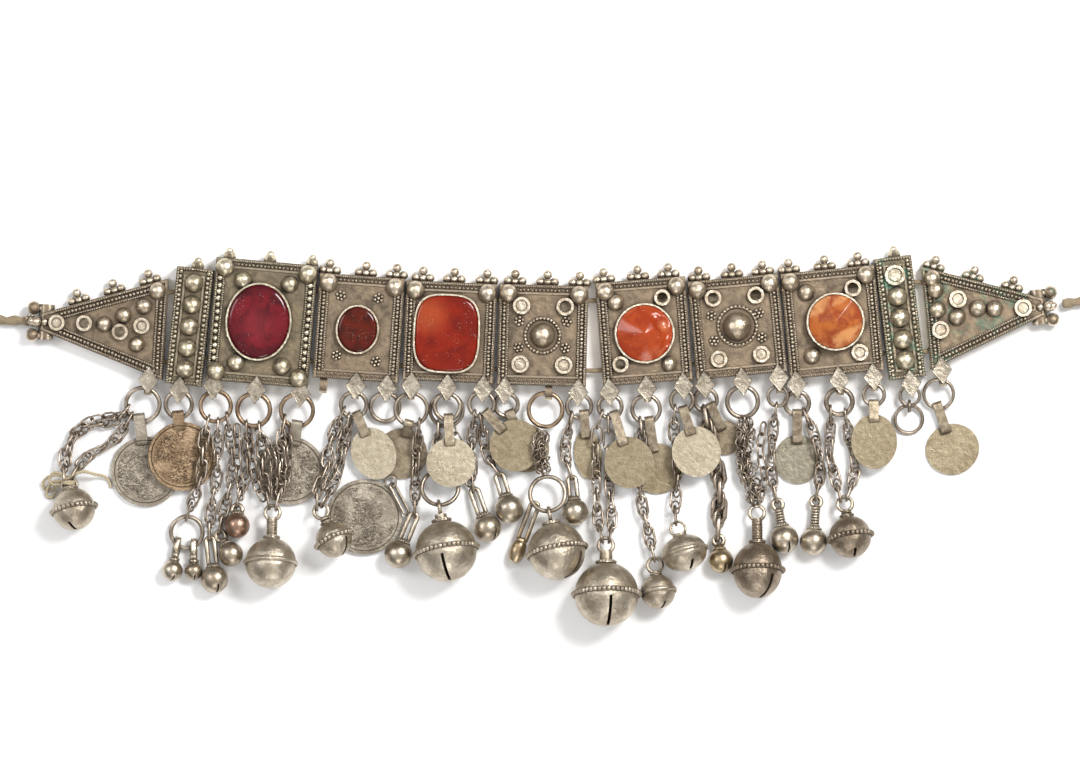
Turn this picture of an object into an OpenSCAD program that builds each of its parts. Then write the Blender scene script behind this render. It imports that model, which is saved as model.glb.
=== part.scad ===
// Old silver breast necklace: eleven hollow plates strung on two cords, hung with coins, discs, chains and bells.
// It lies flat, seen from above, with +X along the row of plates and the drops towards -Y.

/* [Plates] */
// Width of an ordinary box plate
box_w = 27; // [25:0.5:28]
// Height of an ordinary box plate
box_h = 30.5; // [29:0.5:32]
// Thickness of the box and bar plates
plate_t = 6; // [5.5:0.25:7]
// Width of a bar plate
bar_w = 11; // [10:0.5:12]
// Height of a bar plate
bar_h = 36; // [34:0.5:38]
// Width of a triangular end plate at its base
end_base = 30.5; // [29:0.5:32]
// Length of a triangular end plate
end_len = 37.5; // [36:0.5:38.5]
// Thickness of the end plates
end_t = 5; // [4.5:0.25:6]
// Thickness of the sheet silver
sheet = 0.7; // [0.5:0.05:0.8]
// Height of the flat mouldings round a plate's face
moulding = 0.35; // [0.2:0.05:0.6]
// Radius of a corner dome
corner_r = 2.8; // [2.2:0.1:3]
// Radius of a crest ball
crest_r = 1.35; // [1.2:0.05:1.5]

/* [Cords] */
// Diameter of the two stringing cords
string_d = 1.4; // [1:0.1:1.6]
// Diameter of the holes that they run through
string_hole = 3; // [2.6:0.1:3.2]
// Distance between the two stringing cords
string_gap = 21; // [18:0.5:22]
// Diameter of the tie cord
tie_d = 3; // [2.4:0.2:3.2]

/* [Hooks and rings] */
// Width of a hook's diamond head
diamond_w = 6; // [5:0.2:7]
// Length of a hook's diamond head
diamond_l = 8.4; // [7:0.2:9.2]
// Thickness of the diamond head
diamond_t = 0.6; // [0.4:0.1:0.8]
// Width of a hook's strap
strap_w = 2.2; // [1.6:0.1:2.4]
// Inner radius of a hook's strap loop
strap_r = 1.7; // [1.6:0.05:1.8]
// Thickness of strap silver
strap_t = 0.45; // [0.3:0.05:0.5]
// Wire diameter of a jump ring
ring_wire = 1.1; // [0.8:0.05:1.2]

/* [Chains] */
// Length of a chain link
link_l = 6.6; // [6.2:0.1:7.2]
// Width of a chain link
link_w = 3.6; // [3.2:0.1:3.8]
// Wire diameter of a chain link
link_wire = 0.6; // [0.45:0.05:0.7]
// Least play between two links
link_play = 0.15; // [0.1:0.05:0.4]

/* [Discs, coins and bells] */
// Thickness of a plain disc
disc_t = 0.7; // [0.5:0.1:1]
// Thickness of a coin
coin_t = 1.3; // [1:0.1:1.6]
// Width of the ribbed strap bails
bail_w = 2.8; // [2:0.1:3.2]
// Wall of a bell or ball
bell_wall = 0.6; // [0.4:0.05:0.8]
// Width of a bell's slit
slit_w = 0.9; // [0.5:0.1:1.2]
// Wire diameter of the loop on a bell
loop_wire = 0.8; // [0.6:0.05:0.9]
// Angle by which a lying bell leans back on its loop
lean = 13; // [8:1:16]

/* [Hidden] */
$fn = 24;
EMBED = 0.1;
FIT = 0.18;
END = 0;
BAR = 1;
BOX = 2;
MIDDLE = 5;
MIDDLE_X = 0.2;
SILVER = [0.72, 0.70, 0.64];
BRASSY = [0.66, 0.55, 0.38];
COPPER = [0.62, 0.42, 0.33];
GREY = [0.55, 0.54, 0.52];
THREAD = [0.80, 0.74, 0.62];
RED = [0.55, 0.08, 0.08];
ORANGE = [0.80, 0.26, 0.10];

// One row a plate, from the left: kind, width and height as shares of its kind's size, turn in degrees,
// gap to the plate before it, height of its middle over the middle of the whole necklace
PLATES = [
    [END, 1.00, 1.00, -3.5, 0, 32.3],
    [BAR, 1.00, 0.98, -6, 1.8, 33.2],
    [BOX, 1.13, 1.21, -5, 1.1, 34.3],
    [BOX, 0.95, 1.03, -4, 1.1, 32.7],
    [BOX, 1.01, 0.98, -2.5, 0.8, 31.5],
    [BOX, 0.99, 0.99, -1.5, 0.9, 30.5],
    [BOX, 1.00, 1.02, 4.5, 3.6, 31.7],
    [BOX, 1.01, 0.97, 5.5, 0.9, 33.1],
    [BOX, 1.05, 1.04, 5.5, 0.8, 34.5],
    [BAR, 1.00, 1.02, 7, 0.8, 35.8],
    [END, 0.95, 1.02, 5.5, 2.4, 35.7],
];
LAST = len(PLATES) - 1;
TIP_W = 5;
TIP_BEAD_R = 2;
TIP_OUT = 2.3;

function kind(i) = PLATES[i][0];
function turn(i) = PLATES[i][3];
function plate_w(i) = PLATES[i][1] * (kind(i) == BOX ? box_w : kind(i) == BAR ? bar_w : end_len);
function plate_h(i) = PLATES[i][2] * (kind(i) == BOX ? box_h : kind(i) == BAR ? bar_h : end_base);
function thick(i) = kind(i) == END ? end_t : plate_t;
function half(i) = kind(i) == END ? 0 : plate_w(i) / 2;
function side(i) = i < MIDDLE ? -1 : 1;
function turned(p, a) = [p.x * cos(a) - p.y * sin(a), p.x * sin(a) + p.y * cos(a)];
function step(i) = half(i - 1) * cos(turn(i - 1)) + PLATES[i][4] + half(i) * cos(turn(i));
function plate_x(i) = i == MIDDLE ? MIDDLE_X : i > MIDDLE ? plate_x(i - 1) + step(i) : plate_x(i + 1) - step(i + 1);
function centre(i) = [plate_x(i), PLATES[i][5]];
function world(i, p) = centre(i) + turned(p, turn(i));
function local(i, p) = turned(p - centre(i), -turn(i));

// The stringing cords cross from plate to plate half way between the two facing walls
function joint(j, up) = (world(j - 1, [half(j - 1), 0]) + world(j, [-half(j), 0])) / 2
    + turned([0, up * string_gap / 2], (turn(j - 1) + turn(j)) / 2);

// Half the width of an end plate at a distance from its base
function end_half(i, d) = plate_h(i) / 2 - (plate_h(i) - TIP_W) / 2 * d / plate_w(i);
function end_slope(i) = atan2((plate_h(i) - TIP_W) / 2, plate_w(i));
function end_outline(i, inset) = let(k = inset / cos(end_slope(i)))
    [[inset, -end_half(i, inset) + k], [inset, end_half(i, inset) - k],
     [plate_w(i) - inset, end_half(i, plate_w(i) - inset) - k],
     [plate_w(i) - inset, -end_half(i, plate_w(i) - inset) + k]];

// Studs on the faces: plate, kind, place as shares of half the width and half the height, radius.
// On an end plate the first share runs from the base to the tip.
DOME = 1;
COLLET = 2;
OPEN = 3;
STUDS = [
    [0, DOME, 0.08, 0.8, 2.6], [0, COLLET, 0.87, 0.0, 2.4], [0, OPEN, 0.65, 0.05, 2.4], [0, DOME, 0.49, 0.05, 2.4],
    [0, DOME, 0.34, 0.31, 2.4], [0, DOME, 0.18, 0.5, 2.4], [0, COLLET, 0.19, 0.05, 2.4], [0, OPEN, 0.36, -0.15, 2.4],
    [0, DOME, 0.22, -0.4, 2.4],
    [1, DOME, 0, 0.74, 2.8], [1, DOME, 0, 0.37, 2.8], [1, DOME, 0, 0, 2.8], [1, DOME, 0, -0.37, 2.8],
    [1, DOME, 0, -0.73, 2.8],
    [2, DOME, -0.44, 0.66, 2.6], [2, DOME, 0.48, 0.66, 2.6], [2, DOME, -0.44, -0.68, 2.6], [2, DOME, 0.46, -0.68, 2.6],
    [5, COLLET, -0.49, 0.58, 2.6], [5, OPEN, 0.49, 0.58, 2.6], [5, COLLET, -0.49, -0.58, 2.6],
    [5, COLLET, 0.49, -0.58, 2.6],
    [6, DOME, -0.58, 0.6, 2.5], [6, OPEN, 0.46, 0.62, 2.4], [6, OPEN, -0.58, -0.6, 2.4], [6, DOME, 0.5, -0.66, 2.3],
    [7, OPEN, -0.47, 0.62, 2.5], [7, OPEN, 0.47, 0.6, 2.5], [7, COLLET, -0.47, -0.62, 2.5], [7, COLLET, 0.47, -0.6, 2.5],
    [8, DOME, -0.49, 0.6, 2.5], [8, OPEN, 0.5, 0.6, 2.5], [8, DOME, -0.49, -0.6, 2.5], [8, COLLET, 0.52, -0.62, 2.5],
    [9, COLLET, 0, 0.7, 3], [9, DOME, 0, 0.35, 3], [9, DOME, 0, 0, 3], [9, DOME, 0, -0.36, 3], [9, DOME, 0, -0.7, 3],
    [10, DOME, 0.1, 0.57, 2.6], [10, COLLET, 0.28, 0.4, 2.6], [10, DOME, 0.1, 0.15, 2.6], [10, DOME, 0.44, 0.15, 2.6],
    [10, DOME, 0.58, 0.1, 2.5], [10, DOME, 0.26, -0.05, 2.6], [10, COLLET, 0.11, -0.28, 2.6],
    [10, COLLET, 0.82, 0.05, 2.6], [10, DOME, 0.08, 0.8, 2.6],
];
COLLET_H = 1.5;

// Stones and round bosses: plate, offset from the plate's middle, half width, half height, squareness, collar height
STONES = [
    [2, -1.0, 0.2, 9.2, 11.0, 2, 2.0],
    [3, -0.4, -0.5, 5.8, 6.7, 2, 1.8],
    [4, -0.9, -0.5, 9.3, 11.2, 3.2, 1.6],
    [6, 0.1, -0.6, 8.3, 8.3, 2, 2.0],
    [8, 0.9, 0.0, 8.0, 8.0, 2, 3.4],
];
BEZEL_T = 0.5;
BOSSES = [[5, 3.6, 5.2], [7, 4.2, 5.8]];

function oval(rx, ry, n, inset = 0) = [for (a = [0:6:354]) let(c = cos(a), s = sin(a))
    [(rx - inset) * sign(c) * pow(abs(c), 2 / n), (ry - inset) * sign(s) * pow(abs(s), 2 / n)]];

// Hooks along the lower edges: plate, place as a share of half the width, how far its strap is drawn down.
// On an end plate the place is the distance from the base as a share of the length.
HOOKS = [
    [0, 0.11, 2.1], [1, -0.2, 0], [2, -0.84, 1.2], [2, 0, 0.8], [2, 0.88, 0], [3, -0.74, 0.4], [3, 0.02, 1.5],
    [3, 0.75, 1.1], [4, -0.79, 1.8], [4, 0, 1.5], [4, 0.79, 0.5], [5, -0.82, 0.6], [5, 0.17, 0.1],
    [5, 0.83, 0.3], [6, -0.87, 0.6], [6, -0.04, 1.6], [6, 0.78, 0.7], [7, -0.83, 0.8], [7, 0, 1.1],
    [7, 0.8, 2.2], [8, -0.88, 1.8], [8, 0.03, 2.2], [8, 0.76, 1.9], [9, 0.15, 0.3], [10, 0.09, 2.4],
];
BARE_HOOKS = [5, 12];
DIAMOND_DOWN = 1.7;
STRAP_IN = 0.2;
HANG = 0.2;
function hook_plate(h) = HOOKS[h][0];
function hook_at(h) = let(i = hook_plate(h), s = HOOKS[h][1])
    kind(i) == END ? [side(i) * s * plate_w(i), -end_half(i, s * plate_w(i))] : [s * half(i), -plate_h(i) / 2];
function strap_out(h) = strap_r + strap_t - STRAP_IN + HOOKS[h][2];
function strap_z(i) = thick(i) + STRAP_IN - strap_r - strap_t;
// Where a ring's wire lies in a hook's strap loop, and how far above the loop's middle
function hole(h, up) = let(i = hook_plate(h), p = world(i, hook_at(h) - [0, strap_out(h) + HANG])) [p.x, p.y, strap_z(i) + up];

// Jump rings: hook, turn from hanging straight down, outer radius, height of its lowest wire,
// wire as a share of ring_wire, how far its top lies above the middle of the strap loop
RINGS = [
    [0, -19, 5.6, 1.8, 1, 0],
    [1, -2, 4.5, 2.6, 1, 0],
    [2, 9, 5.1, 3.9, 1, 0],
    [3, -8, 5.5, 3.2, 1.1, 0],
    [4, -14, 5.4, 2.6, 1, 0],
    [9, -2, 5.4, 1.9, 0.9, -0.8],
    [6, -8, 4.4, 2.4, 1, -0.3],
    [7, -7, 4.9, 1.2, 1, -0.8],
    [8, 0, 5.3, 3.6, 0.9, 0.7],
    [9, 1, 4.4, 4.2, 1, 0.4],
    [10, -6, 4.3, 3.8, 1, 0.5],
    [11, 9, 4, 1.7, 1, -0.7],
    [12, -11, 5.6, 3.8, 1, 0],
    [13, 5, 4.2, 2, 1, 0],
    [14, 2, 4, 3.4, 1, 0],
    [15, -5, 4.7, 2.6, 1, 0],
    [16, -9, 3.9, 3.8, 1, 0.5],
    [17, 3, 3.9, 2.4, 1, -0.6],
    [18, -1, 5.2, 3.4, 1.1, 0],
    [19, -9, 3.4, 3.8, 0.8, 0.7],
    [20, 1, 4.2, 2, 1.1, -0.6],
    [21, -2, 4.6, 2.6, 1.2, 0],
    [22, -1, 3.6, 3.6, 0.9, 0],
    [23, -7, 3.3, 3.2, 0.7, 0],
    [24, -15, 4.9, 1.6, 0.8, 0],
];
function flat(p) = [p.x, p.y];
function unit(v) = v / norm(v);
// A ring's frame: its wire, centreline radius, top, the way it hangs and its slope
function wire_at(k) = ring_wire * RINGS[k][4];
function ring_r(k) = RINGS[k][2] - wire_at(k) / 2;
function ring_top(k) = hole(RINGS[k][0], RINGS[k][5]);
function ring_way(k) = RINGS[k][1];
function ring_slope(k) = asin((ring_top(k).z - RINGS[k][3]) / (2 * ring_r(k)));
// The point of a ring's wire at angle b from its lowest point
function on_ring(k, b) = let(r = ring_r(k), y = -r - r * cos(b), p = turned([r * sin(b), y * cos(ring_slope(k))], ring_way(k)),
    t = ring_top(k)) [t.x + p.x, t.y + p.y, t.z + y * sin(ring_slope(k))];
function ring_tangent(k, b) = unit(on_ring(k, b + 1) - on_ring(k, b - 1));

// Plain discs: ring, angle on it, way from there to the middle, half width, half height,
// height of the middle, roll
DISCS = [
    [6, 27, 4.7, -11, 6.6, 8, 2.6, 0],
    [8, -10, -2, -8.6, 7.6, 7.6, 0.45, 0],
    [9, 5, 0.7, -12.9, 7.4, 7.4, 5.4, 2],
    [10, 40, 8, -9.2, 7.8, 7.8, 3.7, 0],
    [11, 15, 4.4, -9.9, 7, 7.4, 0.45, 0],
    [13, 20, 1.2, -11.3, 4.2, 7.5, 0.45, 0],
    [14, 25, 4.1, -13.7, 7.4, 7.8, 5.4, -2],
    [15, 20, 2.2, -13.9, 7.6, 7.6, 0.45, 0],
    [16, 20, 3.6, -12, 7.3, 7.6, 6.3, 0],
    [17, 35, 4, -8.7, 5.1, 5.1, 0.45, 0],
    [20, 0, 0.2, -13.3, 6.9, 7.4, 0.45, 0],
    [22, 0, 0.1, -10.9, 6.9, 8.2, 5, -2],
    [24, 15, 4.2, -12.2, 8.1, 7.6, 0.45, 0],
];
BAIL_PLAY = 0.3;
GROUND_GAP = 0.05;

// Coins on strap bails: ring, angle on it, way from there to the middle, radius, height of its middle, roll
COINS = [
    [0, 8, 1.8, -15.2, 10.5, 0.75, 0],
    [1, 0, 1.2, -11.7, 10.3, 2.4, 8],
    [4, 12, -1.9, -13.3, 10.2, 0.75, 0],
];

// Bells and balls: loop's top, middle, radius, length along the axis as a share of the width, belt,
// how it is held, height of the loop's top (0: as it leans), height added where it lies on something
PLAIN = 0;
BELT = 1;
LOOP = 0;
UPRIGHT = 1;
STRAP = 2;
LONG = 3;
DROPS = [
    [-142.2, -12.3, -140.4, -21.6, 6.4, 1, BELT, LOOP, 0, 0],
    [-80.8, -20.6, -81.3, -37.7, 7.6, 1, BELT, LOOP, 0, 0],
    [-67.1, -20.3, -62.4, -30.7, 5.4, 1, BELT, LOOP, 0, 1.7],
    [-31.0, -19.3, -28.7, -34.1, 9.2, 1, BELT, UPRIGHT, 0, 0],
    [1.9, -21.2, 4.4, -34.2, 8.6, 1, BELT, UPRIGHT, 0, 0],
    [19.1, -30.3, 19.3, -47.1, 9.6, 1, BELT, LOOP, 0, 0],
    [33.6, -36.4, 34.8, -46.4, 5.2, 1, BELT, LOOP, 0, 0.1],
    [40.2, -25.5, 42.7, -34.7, 6.8, 0.8, BELT, LOOP, 0, 0],
    [64.5, -20.7, 64.6, -39.9, 7.4, 1.15, BELT, LOOP, 0, 0],
    [90.6, -18.0, 92.4, -29.9, 6.3, 1, BELT, LOOP, 0, 0],
    [-109.6, -32.4, -111.0, -40.1, 3.1, 1, PLAIN, STRAP, 1.5, 0],
    [-104.6, -32.9, -104.6, -40.3, 2.7, 1, PLAIN, STRAP, 1.5, 0],
    [-99.8, -30.2, -98.3, -42.7, 4.1, 1, PLAIN, LONG, 0, 0],
    [-91.5, -20.4, -91.5, -26.6, 3.8, 1, PLAIN, LOOP, 0, 0],
    [-97.2, -28.4, -93.4, -35.2, 3.7, 1, PLAIN, LOOP, 0, 0],
    [-38.2, -23.0, -43.1, -35.2, 4.2, 1, PLAIN, LONG, 0, 0],
    [-20.6, -15.6, -16.4, -27.3, 4.2, 1, PLAIN, LONG, 0, 0],
    [-13.0, -11.1, -9.8, -21.6, 4.3, 1, PLAIN, LONG, 0, 0],
    [-1.9, -19.8, -7.4, -34.4, 2.4, 1.5, PLAIN, LONG, 4.7, 0.1],
    [8.9, -12.0, 9.9, -22.5, 4.0, 1, PLAIN, LONG, 0, 0],
    [52.8, -29.7, 53.7, -37.1, 3.7, 1, PLAIN, LOOP, 2.5, 0],
    [70.5, -18.9, 72.7, -30.6, 4.3, 1, PLAIN, LOOP, 0, 0],
    [82.4, -18.0, 81.5, -31.4, 4.1, 1, PLAIN, LOOP, 0, 0],
];
// The slit of each bell and ball: turn about its axis from the top side, length as a share of its radius.
// A slit that is turned far round lies on the underside.
SLITS = [
    [-24, 1.3], [165, 1.5], [48, 1.75], [-8, 1.75], [60, 1.75], [8, 1.8], [30, 1.3], [20, 1.5], [38, 1.7],
    [12, 1.3], [25, 1.5], [15, 1.5], [20, 1.5], [170, 1.5], [165, 1.5], [170, 1.5], [40, 1.7], [170, 1.5],
    [165, 1.5], [170, 1.5], [25, 1.6], [20, 1.6], [170, 1.5],
];
BELT_OUT = 0.45;
function drop_flat(n) = norm([DROPS[n][2] - DROPS[n][0], DROPS[n][3] - DROPS[n][1]]);
function drop_way(n) = atan2(DROPS[n][2] - DROPS[n][0], DROPS[n][1] - DROPS[n][3]);
function drop_high(n) = DROPS[n][4] + DROPS[n][9] + (DROPS[n][6] == BELT ? BELT_OUT : 0);
function pin_z(n) = DROPS[n][8] > 0 ? DROPS[n][8] : max(2.1, drop_high(n) - drop_flat(n) * tan(lean));
function drop_rise(n) = atan2(drop_high(n) - pin_z(n), drop_flat(n));
function drop_len(n) = norm([drop_flat(n), drop_high(n) - pin_z(n)]);
function drop_pin(n) = [DROPS[n][0], DROPS[n][1], pin_z(n)];
function loop_r(n) = DROPS[n][7] == LONG ? 1.2 : DROPS[n][4] < 5 ? 1.5 : 2.2;
// A point in a drop's own frame, whose origin is the loop's top and whose -y is its axis
function of_drop(n, p) = let(a = drop_rise(n), q = turned([p.x, p.y * cos(a) + p.z * sin(a)], drop_way(n)))
    drop_pin(n) + [q.x, q.y, p.z * cos(a) - p.y * sin(a)];
// A point of a drop's loop at an angle from its top
function loop_side(n, b) = let(r = loop_r(n), y = r * cos(b) - r, s = r * sin(b))
    of_drop(n, DROPS[n][7] == UPRIGHT ? [0, y, s] : [s, y, 0]);
function in_loop(n) = of_drop(n, [0, -(ring_wire + loop_wire) / 2 - 0.15, 0]);

// Larger rings that hang lower down: top of the ring, its lowest point, wire as a share of ring_wire
LOW_RINGS = [
    [[-106.6, -23.9, 2.2], [-106.8, -33.4, 1.5], 1],
    [[-30.4, -10.2, 2.4], in_loop(3), 1],
    [[1.3, -11.9, 4.4], in_loop(4), 1],
    [[108.4, 9.0, 2.0], [112.0, 1.6, 0.6], 0.8],
];
function low_wire(g) = ring_wire * LOW_RINGS[g][2];
function low_side(g, b) = let(top = LOW_RINGS[g][0], low = LOW_RINGS[g][1], u = unit(low - top), s = unit([-u.y, u.x, 0]))
    (top + low) / 2 + norm(low - top) / 2 * (-cos(b) * u + sin(b) * s);
// The large coin hangs by a lug at its edge from one long link
COIN_4 = [-53.3, -24.0, 11.3, 0.75];
LUG = [-45.5, -13.5, 1.5];
LUG_R = 1.6;
LUG_WIRE = 0.8;
LONG_LINK = [[-44.8, -14.9, 1.5], [-40.9, -22.4, 1.7], 3];
// A small ring upright between the lowest ring on the right and the one above it
JOINING = [110.3, 9.3, 2.55];
JOINING_R = 1.6;

// Chains: ring and angle on its wire, a few chosen points, then what it ends on and the angle there
ON_LOOP = 0;
ON_LOW = 1;
FAR_LEFT = [
    [0, -58, [[-128.5, 4.4, 2.2], [-134, 4, 1.9], [-140, 1.5, 1.9], [-143.4, -4, 2.4]], ON_LOOP, 0, -30],
    [0, -28, [[-127.5, -0.4, 2.2], [-132, -3.4, 1.9], [-137, -6, 2.4]], ON_LOOP, 0, 30],
];
LEFT_A = [
    [2, -38, [[-101.6, -1, 4.3], [-102, -9, 4.5], [-102.8, -14.5, 4.6], [-104.8, -19, 3.5]], ON_LOW, 0, 0],
    [2, 0, [[-97.4, -3, 3.4], [-97.3, -10, 3.3], [-98.8, -18, 2.2], [-99.8, -24, 2]], ON_LOOP, 12, 0],
    [2, 38, [[-93.3, -3, 2.6], [-92.9, -11, 2], [-94.5, -18, 2], [-96, -23.5, 2]], ON_LOOP, 14, 14],
];
LEFT_B = [
    [3, -18, [[-88.6, -4, 2.2], [-88.4, -11, 2], [-90.4, -15.5, 2]], ON_LOOP, 13, 0],
    [3, 28, [[-84, -4, 3.3], [-83.8, -11, 3.3], [-82.9, -16, 3.6]], ON_LOOP, 1, -30],
    [4, -40, [[-78.5, -1, 3.4], [-77.8, -8, 3.4], [-78.4, -15, 3.6]], ON_LOOP, 1, 30],
    [6, -50, [[-62.6, 1.5, 2], [-64.3, -4, 2.6], [-64.9, -10, 3.4], [-67.4, -15.5, 4.9]], ON_LOOP, 2, -12],
    [6, -15, [[-59, 0, 2], [-60, -6, 2], [-61.6, -12, 2.6], [-64, -17, 3.4]], ON_LOOP, 2, 34],
];
MIDDLE_CHAINS = [
    [8, 30, [[-37.2, -0.5, 2.9], [-37.9, -8, 2.8], [-38.1, -16, 2.2]], ON_LOOP, 15, 0],
    [5, -30, [[-31.4, 0, 1.9], [-31, -5, 1.9]], ON_LOW, 1, 0],
    [10, -30, [[-20.9, 1, 2], [-21.1, -5, 1.9], [-21.1, -10, 1.9]], ON_LOOP, 16, 0],
    [10, 0, [[-17.4, 0.5, 2.6], [-17.2, -4, 2.2], [-15.4, -8, 2]], ON_LOOP, 17, 0],
    [13, -45, [[8, 1.5, 2], [6.6, -3.5, 1.9]], ON_LOOP, 19, 0],
];
RIGHT_A = [
    [14, -50, [[16.3, 1, 2.9], [16.2, -7, 2.9], [16.3, -15, 2.6], [16.7, -24, 3.4]], ON_LOOP, 5, -30],
    [14, -12, [[20, -1, 2.6], [20.1, -8, 2.2], [20.2, -16, 2], [21.1, -24, 3.4]], ON_LOOP, 5, 30],
    [15, -20, [[29.9, 0, 2.8], [29.5, -8, 3.3], [29.2, -15, 3.3], [30.4, -22, 2.3], [32.4, -30.5, 2.6]], ON_LOOP, 6, 0],
    [16, -30, [[39.4, 3, 3.3], [40.4, -5, 3.2], [41, -12, 3.2], [40, -19, 2.9]], ON_LOOP, 7, 0],
];
THICK_CHAIN = [17, -10, [[49.8, 2, 3.2], [51.4, -5, 3.2], [53.3, -13, 2.6], [53.2, -21, 2.5]], ON_LOOP, 20, 0];
RIGHT_B = [
    [19, 0, [[69.6, 4, 2.8], [68.9, -4, 2.6], [69, -12, 2.2]], ON_LOOP, 21, 0],
    [20, 42, [[81, 3, 2.8], [82.8, -3, 2.8], [83.8, -9, 2.5]], ON_LOOP, 22, 0],
    [21, -40, [[86.6, 1, 2], [86, -4, 1.9], [87.2, -9, 2]], ON_LOOP, 9, -30],
    [21, 30, [[92, 1, 2], [93.4, -5, 1.9], [94.2, -10, 2]], ON_LOOP, 9, 30],
];
THICK_LINK = [8.2, 4.8, 1.0];
BUNDLE_MIDDLE = [[0.5, 0.6, 5.8], [-0.6, -3, 6.1], [-0.4, -7, 6.1], [0.9, -10.4, 5.8]];
BUNDLE_RIGHT = [[61.3, 4.5, 4.2], [60.6, -3, 4], [61.2, -9, 3.6], [63.2, -14.5, 3.6], [64.3, -19.7, 3.6]];
BUNDLE_SIZE = [2.9, 1.8];

// The tie cord leaves one tip and comes back to the other, round the wearer's neck
TIE_ROUTE = [
    [-154, 34.8, 2.5], [-158, 35, 2.3], [-162, 35, 2], [-166, 36.5, 1.6], [-169, 40.5, 1.5], [-170, 46, 1.5],
    [-170.5, 56, 1.5], [-171, 68, 1.5], [-171, 80, 1.5], [-171, 92, 1.5], [-171, 104, 1.5], [-171, 116, 1.5],
    [-170.5, 124, 1.5], [-168, 130, 1.5], [-163, 134, 1.5], [-156, 135.5, 1.5], [-140, 136, 1.5], [-110, 136, 1.5],
    [-70, 135.5, 1.5], [-30, 136, 1.5], [0, 136, 1.5], [30, 135.5, 1.5], [70, 136, 1.5], [110, 136, 1.5],
    [140, 136, 1.5], [156, 135.5, 1.5], [163, 134, 1.5], [168, 130, 1.5], [170.5, 124, 1.5], [171, 116, 1.5],
    [171, 104, 1.5], [171, 92, 1.5], [171, 80, 1.5], [170.5, 68, 1.5], [170, 56, 1.5], [169.5, 50, 1.5],
    [168, 45, 1.5], [164.5, 41.5, 1.8], [160, 40.5, 2.3], [156.4, 40, 2.5],
];

module torus(r, wire_r) {
    rotate_extrude() translate([r, 0]) circle(wire_r);
}

module cap(r) {
    rotate_extrude() intersection() {
        circle(r);
        translate([0, -EMBED]) square([r, r + EMBED]);
    }
}

// Points the children's X axis along a direction
module facing(d) {
    rotate([0, -asin(d.z / norm(d)), atan2(d.y, d.x)]) children();
}

module link(l, w, wire) {
    r = (w - wire) / 2;
    run = (l - w) / 2;
    for (s = [0, 180]) {
        rotate([0, 0, s]) translate([run, 0, 0]) rotate([0, 0, -90]) rotate_extrude(angle = 180)
            translate([r, 0]) circle(wire / 2);
        rotate([0, 0, s]) translate([-run, r, 0]) rotate([0, 90, 0]) cylinder(r = wire / 2, h = 2 * run);
    }
}

function spline(p, i, u) = let(a = p[max(i - 1, 0)], b = p[i], c = p[i + 1], d = p[min(i + 2, len(p) - 1)])
    (2 * b + (c - a) * u + (2 * a - 5 * b + 4 * c - d) * u * u + (3 * b - a - 3 * c + d) * u * u * u) / 2;
function smooth(p, n) = [for (i = [0:len(p) - 2]) for (k = [0:n - 1]) spline(p, i, k / n), p[len(p) - 1]];
function run_length(p, i = 0) = i >= len(p) - 1 ? 0 : norm(p[i + 1] - p[i]) + run_length(p, i + 1);
function along(p, s, i = 0) = let(d = norm(p[i + 1] - p[i]))
    i >= len(p) - 2 || s <= d ? p[i] + (p[i + 1] - p[i]) * s / d : along(p, s - d, i + 1);
// How far past a wire of radius w a link's end starts, when the wire crosses the link's way d along t
function past(w, d, t) = let(s = abs(d * t), c = sqrt(1 - s * s)) w / c + link_wire / 2 * s / c + 0.05;
// The roll that turns a link which lies along d square to a wire along t
function square_to(d, t) = let(y = unit([-d.y, d.x, 0]), z = cross(d, y)) atan2(-t * y, t * z);
function half_turned(a) = a - 180 * round(a / 180);

function start_tangent(c) = ring_tangent(c[0], c[1]);
function end_point(c, b) = c[3] == ON_LOOP ? loop_side(c[4], b) : low_side(c[4], b);
function end_tangent(c) = unit(end_point(c, c[5] + 1) - end_point(c, c[5] - 1));
function end_wire(c) = c[3] == ON_LOOP ? loop_wire : low_wire(c[4]);

// Links along a smooth route, the first square to the ring's wire, the last to what it carries
module chain(c, size = [link_l, link_w, link_wire]) {
    raw = [on_ring(c[0], c[1]), each c[2], end_point(c, c[5])];
    last = len(raw) - 1;
    d0 = unit(raw[1] - raw[0]);
    d1 = unit(raw[last] - raw[last - 1]);
    p = smooth([raw[0] - past(wire_at(c[0]) / 2, d0, start_tangent(c)) * d0, each c[2],
        raw[last] + past(end_wire(c) / 2, d1, end_tangent(c)) * d1], 5);
    total = run_length(p);
    count = ceil(total / (size.x - 2 * size.z - link_play));
    pitch = total / count;
    first = square_to(unit(along(p, pitch) - p[0]), start_tangent(c));
    wanted = square_to(unit(p[len(p) - 1] - along(p, total - pitch)), end_tangent(c));
    step = 90 + half_turned(wanted - first - 90 * (count - 1)) / max(1, count - 1);
    for (k = [0:count - 1]) {
        a = along(p, k * pitch);
        b = along(p, (k + 1) * pitch);
        translate((a + b) / 2) facing(b - a) rotate([first + step * k, 0, 0]) link(size.x, size.y, size.z);
    }
}

// A tube along points, w by h across, with flat ends
function ring_at(p, i, w, h, n) = let(t = unit(p[min(i + 1, len(p) - 1)] - p[max(i - 1, 0)]),
    s = unit(cross([0, 0, 1], t)), v = cross(t, s)) [for (k = [0:n - 1]) p[i] + s * w * cos(360 * k / n) + v * h * sin(360 * k / n)];
module tube(p, w, h, n = 8) {
    last = len(p) - 1;
    polyhedron(
        points = [for (i = [0:last]) each ring_at(p, i, w, h, n)],
        faces = [
            [for (k = [0:n - 1]) k],
            for (i = [0:last - 1]) for (k = [0:n - 1]) let(a = i * n + k, b = i * n + (k + 1) % n) each
                [[a, a + n, b], [b, a + n, b + n]],
            [for (k = [n - 1:-1:0]) last * n + k],
        ]);
}

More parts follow.
